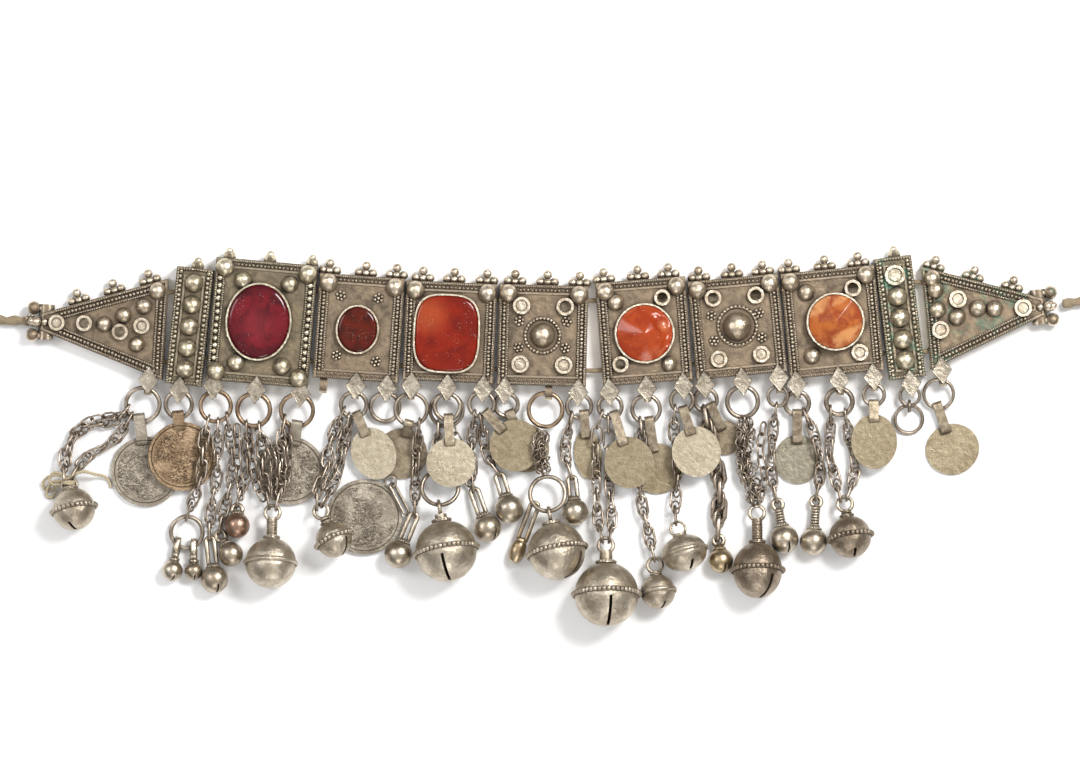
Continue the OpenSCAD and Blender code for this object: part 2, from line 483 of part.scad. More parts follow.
module on_plate(i) {
    translate([centre(i).x, centre(i).y, 0]) rotate(turn(i)) children();
}

// A flat moulding that runs round the face, from inset a to inset b
module box_moulding(i, a, b) {
    translate([0, 0, thick(i) - EMBED]) linear_extrude(moulding + EMBED) difference() {
        square([plate_w(i) - 2 * a, plate_h(i) - 2 * a], center = true);
        square([plate_w(i) - 2 * b, plate_h(i) - 2 * b], center = true);
    }
}

module collet(r) {
    translate([0, 0, -EMBED]) difference() {
        cylinder(r = r, h = COLLET_H + EMBED);
        translate([0, 0, COLLET_H - 0.5]) cylinder(r = r - 0.8, h = 1);
    }
}

module open_collet(r) {
    translate([0, 0, -EMBED]) difference() {
        cylinder(r = r, h = COLLET_H + EMBED);
        translate([0, 0, -1]) cylinder(r = r - 0.8, h = COLLET_H + 2);
    }
}

function stud_at(i, u, v) = kind(i) == END
    ? [side(i) * u * plate_w(i), v * end_half(i, u * plate_w(i))]
    : [u * half(i), v * plate_h(i) / 2];

module studs(i) {
    for (s = STUDS) if (s[0] == i) {
        p = stud_at(i, s[2], s[3]);
        translate([p.x, p.y, thick(i)])
            if (s[1] == DOME) cap(s[4]);
            else if (s[1] == COLLET) collet(s[4]);
            else open_collet(s[4]);
    }
}

module stud_holes(i) {
    for (s = STUDS) if (s[0] == i && s[1] == OPEN) {
        p = stud_at(i, s[2], s[3]);
        translate([p.x, p.y, thick(i) - 2 * sheet]) cylinder(r = s[4] - 0.8, h = 4 * sheet);
    }
}

module corner_domes(i, rows) {
    for (x = [-1, 1]) for (y = rows)
        translate([x * (half(i) - corner_r), y * (plate_h(i) / 2 - corner_r), thick(i)]) cap(corner_r);
}

// Three balls and one above them, soldered to an edge at the origin
module crest() {
    for (p = [[-2.1, 0.95], [2.1, 0.95], [0, 0.8], [0, 3.1]]) translate([p.x, p.y, 0]) sphere(crest_r);
}

module crests(i, shares) {
    for (s = shares) translate([s * half(i), plate_h(i) / 2, thick(i) - 2 * crest_r]) crest();
}

// A worn crest is a low knob
module worn_crests(i, shares) {
    for (s = shares) translate([s * half(i), plate_h(i) / 2 + 0.6, thick(i) - 2]) {
        sphere(1.9);
        translate([0, 1.6, 0]) sphere(1.1);
    }
}

// A hook is a diamond on the face and a strap loop that hangs over the edge
module hook(i, h) {
    bare = h == BARE_HOOKS[0] || h == BARE_HOOKS[1];
    if (!bare) translate([0, 0, thick(i) - EMBED]) linear_extrude(diamond_t + EMBED)
        translate([0, -DIAMOND_DOWN]) polygon([[0, diamond_l / 2], [diamond_w / 2, 0], [0, -diamond_l / 2], [-diamond_w / 2, 0]]);
    up = kind(i) == END ? 1 : 0.35;
    translate([0, -strap_out(h), strap_z(i)])
        strap(strap_out(h) - strap_r - strap_t + up, 0, strap_r, strap_w);
}

module hooks(i) {
    for (h = [0:len(HOOKS) - 1]) if (hook_plate(h) == i) {
        p = hook_at(h);
        translate([p.x, p.y, 0]) hook(i, h);
    }
}

// Holes where the two stringing cords cross a wall
module string_holes(i) {
    for (j = [i, i + 1]) if (j > 0 && j <= LAST) for (up = [-1, 1]) {
        p = local(i, joint(j, up));
        translate([p.x, p.y, thick(i) / 2]) rotate([0, 90, 0])
            cylinder(r = string_hole / 2, h = 6 * sheet + 2, center = true);
    }
}

module box_shell(i) {
    w = plate_w(i);
    h = plate_h(i);
    difference() {
        translate([-w / 2, -h / 2, 0]) cube([w, h, thick(i)]);
        translate([sheet - w / 2, sheet - h / 2, sheet])
            cube([w - 2 * sheet, h - 2 * sheet, thick(i) - 2 * sheet]);
        string_holes(i);
        stud_holes(i);
    }
    box_moulding(i, 0.2, 0.9);
    box_moulding(i, 2.3, 2.9);
}

module bezel(i) {
    for (s = STONES) if (s[0] == i) translate([s[1], s[2], thick(i) - EMBED]) linear_extrude(s[6] + EMBED)
        difference() {
            polygon(oval(s[3], s[4], s[5], -FIT - BEZEL_T));
            polygon(oval(s[3], s[4], s[5], -FIT));
        }
}

// The raised boss of a box without a stone, in its ring
module boss(r, ring_r, i) {
    translate([0, 0, thick(i)]) {
        cap(r);
        translate([0, 0, 0.1]) torus(ring_r, 0.4);
    }
}

module box_plate(i, rows, crest_shares) {
    on_plate(i) {
        box_shell(i);
        studs(i);
        corner_domes(i, rows);
        crests(i, crest_shares);
        bezel(i);
        hooks(i);
    }
}

module bar_plate(i) {
    on_plate(i) {
        box_shell(i);
        studs(i);
        worn_crests(i, [0.1]);
        hooks(i);
    }
}

module end_moulding(i, a, b) {
    translate([0, 0, end_t - EMBED]) linear_extrude(moulding + EMBED) difference() {
        polygon(end_outline(i, a));
        polygon(end_outline(i, b));
    }
}

// The tip of an end plate: a cross tube, two beads and a cluster, with the cords between the beads
module end_tip(i) {
    l = plate_w(i);
    z = end_t / 2;
    difference() {
        translate([l - 1.6, 0, z]) rotate([90, 0, 0]) cylinder(r = 2.3, h = 10.6, center = true);
        translate([l - 1.6, 0, z]) rotate([90, 0, 0]) cylinder(r = 1.7, h = 12, center = true);
        translate([l - 5, 0, z]) rotate([0, 90, 0]) cylinder(r = 1.75, h = 10);
    }
    for (y = [-1, 1]) translate([l + TIP_OUT, y * 4.1, end_t - 1.7]) {
        sphere(TIP_BEAD_R);
        translate([-2.4, 0, -0.3]) rotate([0, 90, 0]) cylinder(r = 1.1, h = 2);
    }
    translate([l + 1.2, 0, end_t + 0.9]) sphere(1.5);
    translate([l + 2.6, 0, end_t + 0.7]) sphere(1.2);
    translate([l - 1.2, 0, end_t + 0.2]) sphere(1.2);
}

module end_plate(i, crest_shares) {
    l = plate_w(i);
    slope = end_slope(i);
    on_plate(i) {
        rotate(side(i) < 0 ? 180 : 0) {
            difference() {
                linear_extrude(end_t) polygon(end_outline(i, 0));
                translate([0, 0, sheet]) linear_extrude(end_t - 2 * sheet) polygon(end_outline(i, sheet));
                translate([l - 3, 0, end_t / 2]) rotate([0, 90, 0]) cylinder(r = 1.75, h = 6);
            }
            end_moulding(i, 0.25, 0.85);
            end_moulding(i, 2.6, 3.2);
            end_tip(i);
            for (d = crest_shares) translate([d * l, side(i) * end_half(i, d * l), end_t - 2 * crest_r])
                rotate(side(i) < 0 ? 180 + slope : -slope) crest();
        }
        studs(i);
        hooks(i);
    }
}

// The end plates have their string holes and open studs cut last
module drilled_end(i, crest_shares) {
    difference() {
        end_plate(i, crest_shares);
        on_plate(i) {
            string_holes(i);
            stud_holes(i);
        }
    }
}

module left_end_plate() {
    color(SILVER) drilled_end(0, [0.14, 0.42, 0.7]);
}

module left_bar() {
    color(BRASSY) bar_plate(1);
}

module box_1() {
    color(SILVER) {
        box_plate(2, [-1, 1], []);
        on_plate(2) worn_crests(2, [-0.75, 0.05, 0.88]);
    }
}

module box_2() {
    color(SILVER) box_plate(3, [1], [-0.78, 0.07, 0.79]);
}

module box_3() {
    color(SILVER) box_plate(4, [1], [-0.64, 0.05, 0.77]);
}

module box_4() {
    color(SILVER) {
        box_plate(5, [1], [-0.65, 0.08, 0.8]);
        on_plate(5) boss(BOSSES[0][1], BOSSES[0][2], 5);
    }
}

module box_5() {
    color(SILVER) box_plate(6, [1], [-0.8, -0.04, 0.64]);
}

module box_6() {
    color(SILVER) {
        box_plate(7, [1], [-0.73, 0, 0.68]);
        on_plate(7) boss(BOSSES[1][1], BOSSES[1][2], 7);
    }
}

module box_7() {
    color(SILVER) box_plate(8, [1], [-0.8, -0.04, 0.67]);
}

module right_bar() {
    color(BRASSY) bar_plate(9);
}

module right_end_plate() {
    color(SILVER) drilled_end(10, [0.1, 0.42, 0.74]);
}

// An oval stone: straight girdle in the collar, then a crown that narrows to a table
module oval_stone(n, rise, table) {
    s = STONES[n];
    on_plate(s[0]) translate([s[1], s[2], thick(s[0]) + FIT]) {
        linear_extrude(s[6] - FIT) polygon(oval(s[3], s[4], s[5]));
        translate([0, 0, s[6] - FIT]) linear_extrude(rise, scale = table) polygon(oval(s[3], s[4], s[5]));
    }
}

// A round stone cut to a blunt cone
module cone_stone(n, rise) {
    s = STONES[n];
    on_plate(s[0]) translate([s[1], s[2], thick(s[0]) + FIT]) rotate_extrude()
        polygon([[0, 0], [s[3], 0], [s[3], s[6] - FIT], [s[3] * 0.55, s[6] + rise * 0.55],
            [s[3] * 0.12, s[6] + rise], [0, s[6] + rise]]);
}

module ruby_glass_stone() {
    color(RED) oval_stone(0, 1.1, 0.8);
}

module small_oval_stone() {
    color(RED) oval_stone(1, 0.7, 0.8);
}

module cushion_carnelian() {
    color(ORANGE) oval_stone(2, 0.8, 0.88);
}

module cone_carnelian_left() {
    color(ORANGE) cone_stone(3, 3.6);
}

module cone_carnelian_right() {
    color(ORANGE) cone_stone(4, 3.2);
}

// Where a stringing cord leaves an end plate's tip, beside the other one
function tip_point(i, out, up) = let(p = world(i, [side(i) * (plate_w(i) + out), up * string_d * 0.56])) [p.x, p.y, end_t / 2];
function lifted(p, z) = [p.x, p.y, z];
// From tip to tip, through the joints between the plates
function string_route(up) = [
    tip_point(0, 2.8, up), tip_point(0, -4, up),
    for (j = [1:LAST]) lifted(joint(j, up), (thick(j - 1) + thick(j)) / 4),
    tip_point(LAST, -4, up), tip_point(LAST, 2.8, up)];

module stringing_cord_upper() {
    color(THREAD) tube(string_route(1), string_d / 2, string_d / 2);
}

module stringing_cord_lower() {
    color(THREAD) tube(string_route(-1), string_d / 2, string_d / 2);
}

module tie_cord() {
    color(THREAD) tube(smooth(TIE_ROUTE, 2), tie_d / 2, tie_d / 2);
}

module jump_ring(k) {
    r = ring_r(k);
    translate(ring_top(k)) rotate([0, 0, ring_way(k)]) rotate([ring_slope(k), 0, 0]) translate([0, -r, 0])
        torus(r, wire_at(k) / 2);
}

module jump_rings_left() {
    for (k = [0, 1, 2, 3, 4, 6, 7]) color(k == 2 || k == 3 ? BRASSY : SILVER) jump_ring(k);
}

module jump_rings_middle() {
    for (k = [5, 8, 9, 10, 11, 12, 13, 14, 15, 16]) color(k == 5 || k == 12 ? BRASSY : SILVER) jump_ring(k);
}

module jump_rings_right() {
    for (k = [17:24]) color(SILVER) jump_ring(k);
}

// Low rings lie from their top to their lowest point, and one long link holds the large coin's ring
module drop_rings() {
    for (g = [0:len(LOW_RINGS) - 1]) let(d = LOW_RINGS[g][1] - LOW_RINGS[g][0]) color(BRASSY)
        translate((LOW_RINGS[g][0] + LOW_RINGS[g][1]) / 2) facing(d) torus(norm(d) / 2, low_wire(g) / 2);
    d = LONG_LINK[1] - LONG_LINK[0];
    color(SILVER) translate((LONG_LINK[0] + LONG_LINK[1]) / 2) facing(d)
        rotate([-50, 0, 0]) link(norm(d) + LUG_WIRE + 0.6 + 2 * link_wire, LONG_LINK[2], link_wire);
    color(SILVER) translate(JOINING) rotate([0, 90, 0]) torus(JOINING_R, 0.35);
}

// A bent strap in the YZ plane, w wide: a long loop of inner radius r from y = up to y = -down
module strap(up, down, r, w) {
    rotate([90, 0, 90]) linear_extrude(w, center = true) difference() {
        union() {
            translate([up, 0]) circle(r + strap_t);
            translate([-down, -r - strap_t]) square([up + down, 2 * (r + strap_t)]);
            translate([-down, 0]) circle(r + strap_t);
        }
        translate([up, 0]) circle(r);
        translate([-down, -r]) square([up + down, 2 * r]);
        translate([-down, 0]) circle(r);
    }
}

// A disc or coin whose strap hangs from a wire of radius wire_r, bent to radius bend_r, at pin along t;
// d is the way to its middle
module hung(pin, t, wire_r, bend_r, d, size, z, thickness, w, roll) {
    r = wire_r + BAIL_PLAY;
    run = norm(d) - size.y + 1.3;
    fall = max(z, r + strap_t + GROUND_GAP) - pin.z;
    s = abs(flat(t) * unit(d));
    up = 0.25 + w * w / 8 / bend_r + w / 2 * s / sqrt(1 - s * s);
    translate(pin) rotate(atan2(d.x, -d.y)) {
        rotate([-atan2(fall, run), 0, 0]) strap(up, norm([run, fall]), r, w);
        translate([0, -norm(d), z - pin.z]) rotate([0, roll, 0]) translate([0, 0, -thickness / 2])
            linear_extrude(thickness) {
                if (size.x == size.y) circle(size.x);
                else polygon(oval(size.x, size.y, 2));
            }
    }
}

module disc(n) {
    d = DISCS[n];
    color(SILVER) hung(on_ring(d[0], d[1]), ring_tangent(d[0], d[1]), wire_at(d[0]) / 2, ring_r(d[0]),
        [d[2], d[3]], [d[4], d[5]], d[6], disc_t, bail_w, d[7]);
}

module coin(n) {
    c = COINS[n];
    color(n == 1 ? BRASSY : GREY) hung(on_ring(c[0], c[1]), ring_tangent(c[0], c[1]), wire_at(c[0]) / 2,
        ring_r(c[0]), [c[2], c[3]], [c[4], c[4]], c[5], coin_t, bail_w * 1.2, c[6]);
}

module coin_1() {
    coin(0);
}

module coin_2() {
    coin(1);
}

module coin_3() {
    coin(2);
}

module coin_4() {
    color(GREY) {
        translate([COIN_4[0], COIN_4[1], COIN_4[3] - coin_t / 2]) cylinder(r = COIN_4[2], h = coin_t);
        translate(LUG) torus(LUG_R, LUG_WIRE / 2);
    }
}

module disc_1() {
    disc(0);
}

module disc_2() {
    disc(1);
}

module disc_3() {
    disc(2);
}

module disc_4() {
    disc(3);
}

module disc_5() {
    disc(4);
}

module disc_6() {
    disc(5);
}

module disc_7() {
    disc(6);
}

module disc_8() {
    disc(7);
}

module disc_9() {
    disc(8);
}

module disc_10() {
    disc(9);
}

module disc_11() {
    disc(10);
}

module disc_12() {
    disc(11);
}

module disc_13() {
    disc(12);
}

// Half profile of a hollow bell about its axis, the neck upwards
module bell_profile(r, share, neck, belt) {
    intersection() {
        translate([0, -2 * r]) square([2 * r, 5 * r]);
        union() {
            difference() {
                bell_outline(r, share);
                bell_outline(r - bell_wall, share);
            }
            translate([0, r * share - bell_wall / 2]) square([max(0.9, r * 0.2), neck + bell_wall / 2 + 0.2]);
            translate([0, r * share - bell_wall / 2]) square([max(1.4, r * 0.32), bell_wall / 2 + 0.5]);
            if (belt == BELT) translate([r, 0]) circle(BELT_OUT + 0.15);
        }
    }
}

module bell_outline(r, share) {
    if (share == 1) circle(r);
    else polygon([for (a = [0:7.5:352.5]) [r * cos(a), r * share * sin(a)]]);
}

// A bell or ball with its loop at the origin, its axis along -y
module drop(n) {
    r = DROPS[n][4];
    share = DROPS[n][5];
    l = drop_len(n);
    hold = DROPS[n][7];
    loop = loop_r(n);
    slit = slit_w * min(1, r / 7);
    neck = max(0.2, l - r * share - (hold == STRAP ? 1.2 : hold == LONG ? l - r * share : 2 * loop));
    translate(drop_pin(n)) rotate([0, 0, drop_way(n)]) rotate([-drop_rise(n), 0, 0]) {
        difference() {
            translate([0, -l, 0]) rotate([-90, 0, 0]) rotate_extrude()
                bell_profile(r, share, neck, DROPS[n][6]);
            translate([0, -l, 0]) rotate([0, SLITS[n][0], 0]) translate([-slit / 2, -2 * r, r * 0.1])
                cube([slit, SLITS[n][1] * r, 2 * r]);
        }
        if (hold == STRAP) strap(0.9, 1.3, ring_wire / 2 + BAIL_PLAY, 1.6);
        else if (hold == LONG) long_bail(l - r * share + 0.5);
        else translate([0, -loop, 0]) rotate([0, hold == UPRIGHT ? 90 : 0, 0]) torus(loop, loop_wire / 2);
    }
}

// A long wire bail from the origin to y = -l
module long_bail(l) {
    translate([0, -l / 2, 0]) rotate(90) link(l + loop_wire, 2.4 + loop_wire, loop_wire);
}

module bell_1() {
    color(SILVER) drop(0);
}

module bell_2() {
    color(SILVER) drop(1);
}

module bell_3() {
    color(SILVER) drop(2);
}

module bell_4() {
    color(SILVER) drop(3);
}

module bell_5() {
    color(SILVER) drop(4);
}

module bell_6() {
    color(SILVER) drop(5);
}

module bell_7() {
    color(SILVER) drop(6);
}

module lens_bell() {
    color(SILVER) drop(7);
}

module bell_9() {
    color(SILVER) drop(8);
}

module bell_10() {
    color(SILVER) drop(9);
}

module balls_left() {
    for (n = [10:15]) color(n == 13 ? COPPER : SILVER) drop(n);
}

module balls_right() {
    for (n = [16:22]) color(n == 18 || n == 20 ? BRASSY : SILVER) drop(n);
}

module chain_far_left() {
    color(BRASSY) for (c = FAR_LEFT) chain(c);
}

module chain_left_a() {
    color(BRASSY) for (c = LEFT_A) chain(c);
}

module chain_left_b() {
    color(BRASSY) for (c = LEFT_B) chain(c);
}

module chain_middle() {
    color(BRASSY) for (c = MIDDLE_CHAINS) chain(c);
}

module chain_right_a() {
    color(BRASSY) for (c = RIGHT_A) chain(c);
    color(SILVER) chain(THICK_CHAIN, THICK_LINK);
}

module chain_right_b() {
    color(BRASSY) for (c = RIGHT_B) chain(c);
}

module bundle_middle() {
    color(BRASSY) tube(smooth(BUNDLE_MIDDLE, 3), BUNDLE_SIZE.x, BUNDLE_SIZE.y, 12);
}

module bundle_right() {
    color(BRASSY) tube(smooth(BUNDLE_RIGHT, 3), BUNDLE_SIZE.x, BUNDLE_SIZE.y, 12);
}

left_end_plate();
left_bar();
box_1();
box_2();
box_3();
box_4();
box_5();
box_6();
box_7();
right_bar();
right_end_plate();
ruby_glass_stone();
small_oval_stone();
cushion_carnelian();
cone_carnelian_left();
cone_carnelian_right();
stringing_cord_upper();
stringing_cord_lower();
tie_cord();
jump_rings_left();
jump_rings_middle();
jump_rings_right();
drop_rings();
coin_1();
coin_2();
coin_3();
coin_4();
disc_1();
disc_2();
disc_3();
disc_4();
disc_5();
disc_6();
disc_7();
disc_8();
disc_9();
disc_10();
disc_11();
disc_12();
disc_13();
bell_1();
bell_2();
bell_3();
bell_4();
bell_5();
bell_6();
bell_7();
lens_bell();
bell_9();
bell_10();
balls_left();
balls_right();
chain_far_left();
chain_left_a();
chain_left_b();
chain_middle();
chain_right_a();
chain_right_b();
bundle_middle();
bundle_right();
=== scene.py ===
import math

import bpy
import numpy as np
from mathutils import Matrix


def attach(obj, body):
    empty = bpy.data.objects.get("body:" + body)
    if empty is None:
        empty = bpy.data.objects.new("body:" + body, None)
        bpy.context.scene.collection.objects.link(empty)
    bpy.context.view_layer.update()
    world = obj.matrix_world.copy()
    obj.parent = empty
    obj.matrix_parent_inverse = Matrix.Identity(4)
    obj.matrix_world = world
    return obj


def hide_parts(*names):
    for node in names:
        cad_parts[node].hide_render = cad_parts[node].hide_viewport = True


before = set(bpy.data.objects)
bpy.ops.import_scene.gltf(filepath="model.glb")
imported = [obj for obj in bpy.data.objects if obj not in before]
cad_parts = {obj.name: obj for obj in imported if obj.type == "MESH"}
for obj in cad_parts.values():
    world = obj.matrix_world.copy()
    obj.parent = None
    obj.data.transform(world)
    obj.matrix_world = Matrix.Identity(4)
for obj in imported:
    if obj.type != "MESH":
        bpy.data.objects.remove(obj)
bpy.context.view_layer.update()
print("necklace loaded,", len(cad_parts), "nodes")

mm = 0.001


# camera and lamps
view = dict(middle=(-0.6, 15.3), width=324.0, away=2.6, level=0.005, sensor=36, seesTo=20)


def lookDown(v):
    # straight down; focal length = sensor width * distance / width seen
    lens = bpy.data.cameras.new("overhead")
    lens.sensor_width = v["sensor"]
    lens.lens = v["sensor"] * v["away"] / (v["width"] * mm)
    lens.clip_end = v["seesTo"]
    camera = bpy.data.objects.new("overhead", lens)
    camera.location = (v["middle"][0] * mm, v["middle"][1] * mm, v["away"] + v["level"])
    bpy.context.collection.objects.link(camera)
    bpy.context.scene.camera = camera


lookDown(view)

# place and side of each square lamp in metres, its watts and its tint
lamps = dict(
    key=((0.42, 0.42, 0.80), 0.30, 9.5, (1.0, 0.99, 0.97)),
    fill=((-0.75, 0.30, 0.75), 0.40, 3.6, (0.97, 0.98, 1.0)),
    front=((0.10, -0.90, 0.55), 0.30, 2.6, (1.0, 0.98, 0.96)),
)


def areaLamp(name, place, size, watts, tint):
    # a square lamp aimed at the middle of the necklace
    lamp = bpy.data.lights.new(name, "AREA")
    lamp.size, lamp.energy, lamp.color = size, watts, tint
    obj = bpy.data.objects.new(name, lamp)
    obj.location = place
    x, y, z = place
    obj.rotation_euler = (math.atan2(math.hypot(x, y), z), 0, math.atan2(-x, y) + math.pi)
    bpy.context.collection.objects.link(obj)


for lampName, (place, size, watts, tint) in lamps.items():
    areaLamp(lampName, place, size, watts, tint)


# shader expressions
class Val:
    # one socket or number, with arithmetic that adds Math nodes
    def __init__(self, kit, link):
        self.kit, self.link = kit, link

    def maths(self, kind, *others):
        values = [o.link if isinstance(o, Val) else o for o in others]
        return self.kit.node("Math", dict(operation=kind), [self.link, *values])

    def __add__(self, o): return self.maths("ADD", o)
    def __sub__(self, o): return self.maths("SUBTRACT", o)
    def __mul__(self, o): return self.maths("MULTIPLY", o)
    def __radd__(self, o): return self.maths("ADD", o)
    def __rmul__(self, o): return self.maths("MULTIPLY", o)
    def __rsub__(self, o): return self.kit.node("Math", dict(operation="SUBTRACT"), [o, self.link])
    def top(self, o): return self.maths("MAXIMUM", o)
    def low(self, o): return self.maths("MINIMUM", o)

    def between(self, a, b):
        # smooth step from 0 at a to 1 at b
        return self.kit.node("MapRange", dict(interpolation_type="SMOOTHSTEP"),
                             {"Value": self.link, "From Min": a, "From Max": b})


class Kit:
    # one material and its nodes
    def __init__(self, name):
        self.material = bpy.data.materials.new(name)
        self.material.use_nodes = True
        self.tree = self.material.node_tree
        self.shader = self.tree.nodes["Principled BSDF"]

    def node(self, kind, settings=None, inputs=None, out=0):
        n = self.tree.nodes.new("ShaderNode" + kind)
        for key, value in (settings or {}).items():
            if key == "stops":
                for i, (at, colour) in enumerate(value):
                    stop = n.color_ramp.elements[i] if i < 2 else n.color_ramp.elements.new(at)
                    stop.position, stop.color = at, (*colour, 1)
            else:
                setattr(n, key, value)
        pairs = inputs.items() if isinstance(inputs, dict) else enumerate(inputs or [])
        for key, value in pairs:
            self.put(n.inputs[key], value)
        return Val(self, n.outputs[out])

    def put(self, socket, value):
        value = value.link if isinstance(value, Val) else value
        if hasattr(value, "is_output"):
            self.tree.links.new(value, socket)
        else:
            socket.default_value = value

    def mix(self, factor, a, b):
        # a where factor is 0, b where it is 1
        n = self.tree.nodes.new("ShaderNodeMix")
        n.data_type = "RGBA"
        colours = [s for s in n.inputs if s.type == "RGBA"]
        self.put(n.inputs[0], factor)
        for socket, value in zip(colours, (a, b)):
            self.put(socket, (*value, 1) if isinstance(value, tuple) else value)
        return Val(self, [s for s in n.outputs if s.type == "RGBA"][0])

    def place(self, centre=None, turn=0.0, stretch=(1, 1, 1)):
        # object coordinates in metres, centred and turned on a piece if wanted
        p = self.node("TexCoord", out=3)
        if centre is None and stretch == (1, 1, 1):
            return p
        x, y = (centre or (0, 0))[:2]
        c, s = math.cos(-turn), math.sin(-turn)
        where = (-(x * c - y * s) * stretch[0], -(x * s + y * c) * stretch[1], 0)
        return self.node("Mapping", dict(vector_type="POINT"),
                         {"Vector": p, "Location": where, "Rotation": (0, 0, -turn), "Scale": stretch})

    def flat(self, p):
        # a place seen from above
        return self.node("VectorMath", dict(operation="MULTIPLY"), [p, (1, 1, 0)])

    def distance(self, a, b):
        return self.node("VectorMath", dict(operation="DISTANCE"), [a, b], out="Value")

    def noise(self, size, detail=3.0, rough=0.55, at=None, warp=0.0):
        return self.node("TexNoise", None, {"Vector": at or self.place(), "Scale": 1 / size, "Detail": detail,
                                           "Roughness": rough, "Distortion": warp})

    def finish(self, colour, roughness, metallic=None, height=None, depth=0.0002, **steady):
        self.put(self.shader.inputs["Base Color"], colour)
        self.put(self.shader.inputs["Roughness"], roughness)
        if metallic is not None:
            self.put(self.shader.inputs["Metallic"], metallic)
        if height is not None:
            bump = self.node("Bump", None, {"Height": height, "Distance": depth, "Strength": 1.0})
            self.put(self.shader.inputs["Normal"], bump)
        for key, value in steady.items():
            self.shader.inputs[key.replace("_", " ")].default_value = value
        return self.material


sky = dict(above=0.74, low=0.10, turnsAt=(0.25, 0.95), tint=(1.0, 0.995, 0.985))


def studioSky(v):
    # a bright ceiling and dark walls, so that round metal is dark towards its sides
    world = bpy.data.worlds.new("studio")
    bpy.context.scene.world = world
    world.use_nodes = True
    tree = world.node_tree
    coordinates, split = tree.nodes.new("ShaderNodeTexCoord"), tree.nodes.new("ShaderNodeSeparateXYZ")
    ramp = tree.nodes.new("ShaderNodeMapRange")
    ramp.interpolation_type = "SMOOTHSTEP"
    turns = {"From Min": v["turnsAt"][0], "From Max": v["turnsAt"][1], "To Min": v["low"], "To Max": v["above"]}
    for key, value in turns.items():
        ramp.inputs[key].default_value = value
    tree.links.new(coordinates.outputs["Generated"], split.inputs[0])
    tree.links.new(split.outputs["Z"], ramp.inputs["Value"])
    tree.links.new(ramp.outputs["Result"], tree.nodes["Background"].inputs["Strength"])
    tree.nodes["Background"].inputs["Color"].default_value = (*v["tint"], 1)


studioSky(sky)
bpy.context.scene.view_settings.view_transform = "Standard"


# metals: bright, middle and dark colour, and the size of the spots in millimetres
silverTones = dict(
    plate=((0.74, 0.64, 0.50), (0.30, 0.225, 0.15), (0.030, 0.018, 0.010), 2.6),
    bar=((0.78, 0.70, 0.53), (0.26, 0.205, 0.13), (0.020, 0.013, 0.008), 2.2),
    strap=((0.44, 0.37, 0.275), (0.17, 0.128, 0.085), (0.03, 0.02, 0.012), 1.8),
    darkBell=((0.40, 0.33, 0.25), (0.185, 0.14, 0.10), (0.03, 0.02, 0.013), 2.6),
    diamond=((0.47, 0.42, 0.34), (0.225, 0.19, 0.145), (0.06, 0.045, 0.03), 2.2),
    ring=((0.50, 0.43, 0.35), (0.20, 0.155, 0.115), (0.035, 0.024, 0.015), 3.5),
    brassyRing=((0.42, 0.31, 0.21), (0.17, 0.11, 0.068), (0.035, 0.022, 0.012), 3.5),
    chain=((0.52, 0.44, 0.36), (0.21, 0.16, 0.115), (0.035, 0.024, 0.015), 3.0),
    disc=((0.37, 0.31, 0.21), (0.24, 0.19, 0.12), (0.07, 0.05, 0.028), 4.5),
    paleDisc=((0.52, 0.46, 0.35), (0.36, 0.305, 0.22), (0.13, 0.10, 0.06), 4.5),
    greenDisc=((0.34, 0.31, 0.24), (0.20, 0.178, 0.13), (0.055, 0.052, 0.036), 4.0),
    darkDisc=((0.34, 0.28, 0.20), (0.19, 0.15, 0.10), (0.045, 0.034, 0.022), 3.0),
    greyCoin=((0.42, 0.37, 0.30), (0.235, 0.20, 0.155), (0.09, 0.072, 0.054), 4.0),
    brownCoin=((0.33, 0.235, 0.15), (0.18, 0.12, 0.07), (0.09, 0.055, 0.03), 4.0),
    bell=((0.62, 0.55, 0.44), (0.32, 0.26, 0.19), (0.040, 0.028, 0.018), 3.4),
    copper=((0.48, 0.32, 0.24), (0.24, 0.145, 0.10), (0.05, 0.03, 0.018), 3.0),
    brass=((0.54, 0.43, 0.28), (0.28, 0.205, 0.12), (0.06, 0.04, 0.018), 3.0),
)

# sizes of the patterns in millimetres, from where to where each one turns over, and how much of it counts
wearAndShade = dict(
    fine=0.45, wide=11, pit=0.9, dent=1.1, verdigris=3.2, softEdge=0.3,
    # the last pair of turns on the next line sets where the painted shade in creases begins and where it is
    # full
    blotchTurns=(0.38, 0.64), fineTurns=(0.3, 0.75), wideTurns=(0.35, 0.65), tarnishShadeTurns=(0.10, 0.56),
    pitTurns=(0.57, 0.70), verdigrisTurns=(0.50, 0.64), verdigrisTint=(0.07, 0.20, 0.14),
    blotchShare=0.6, fineShare=0.25, wideShare=0.3, pitShare=0.6, reliefShare=3.0, darkest=0.97,
)


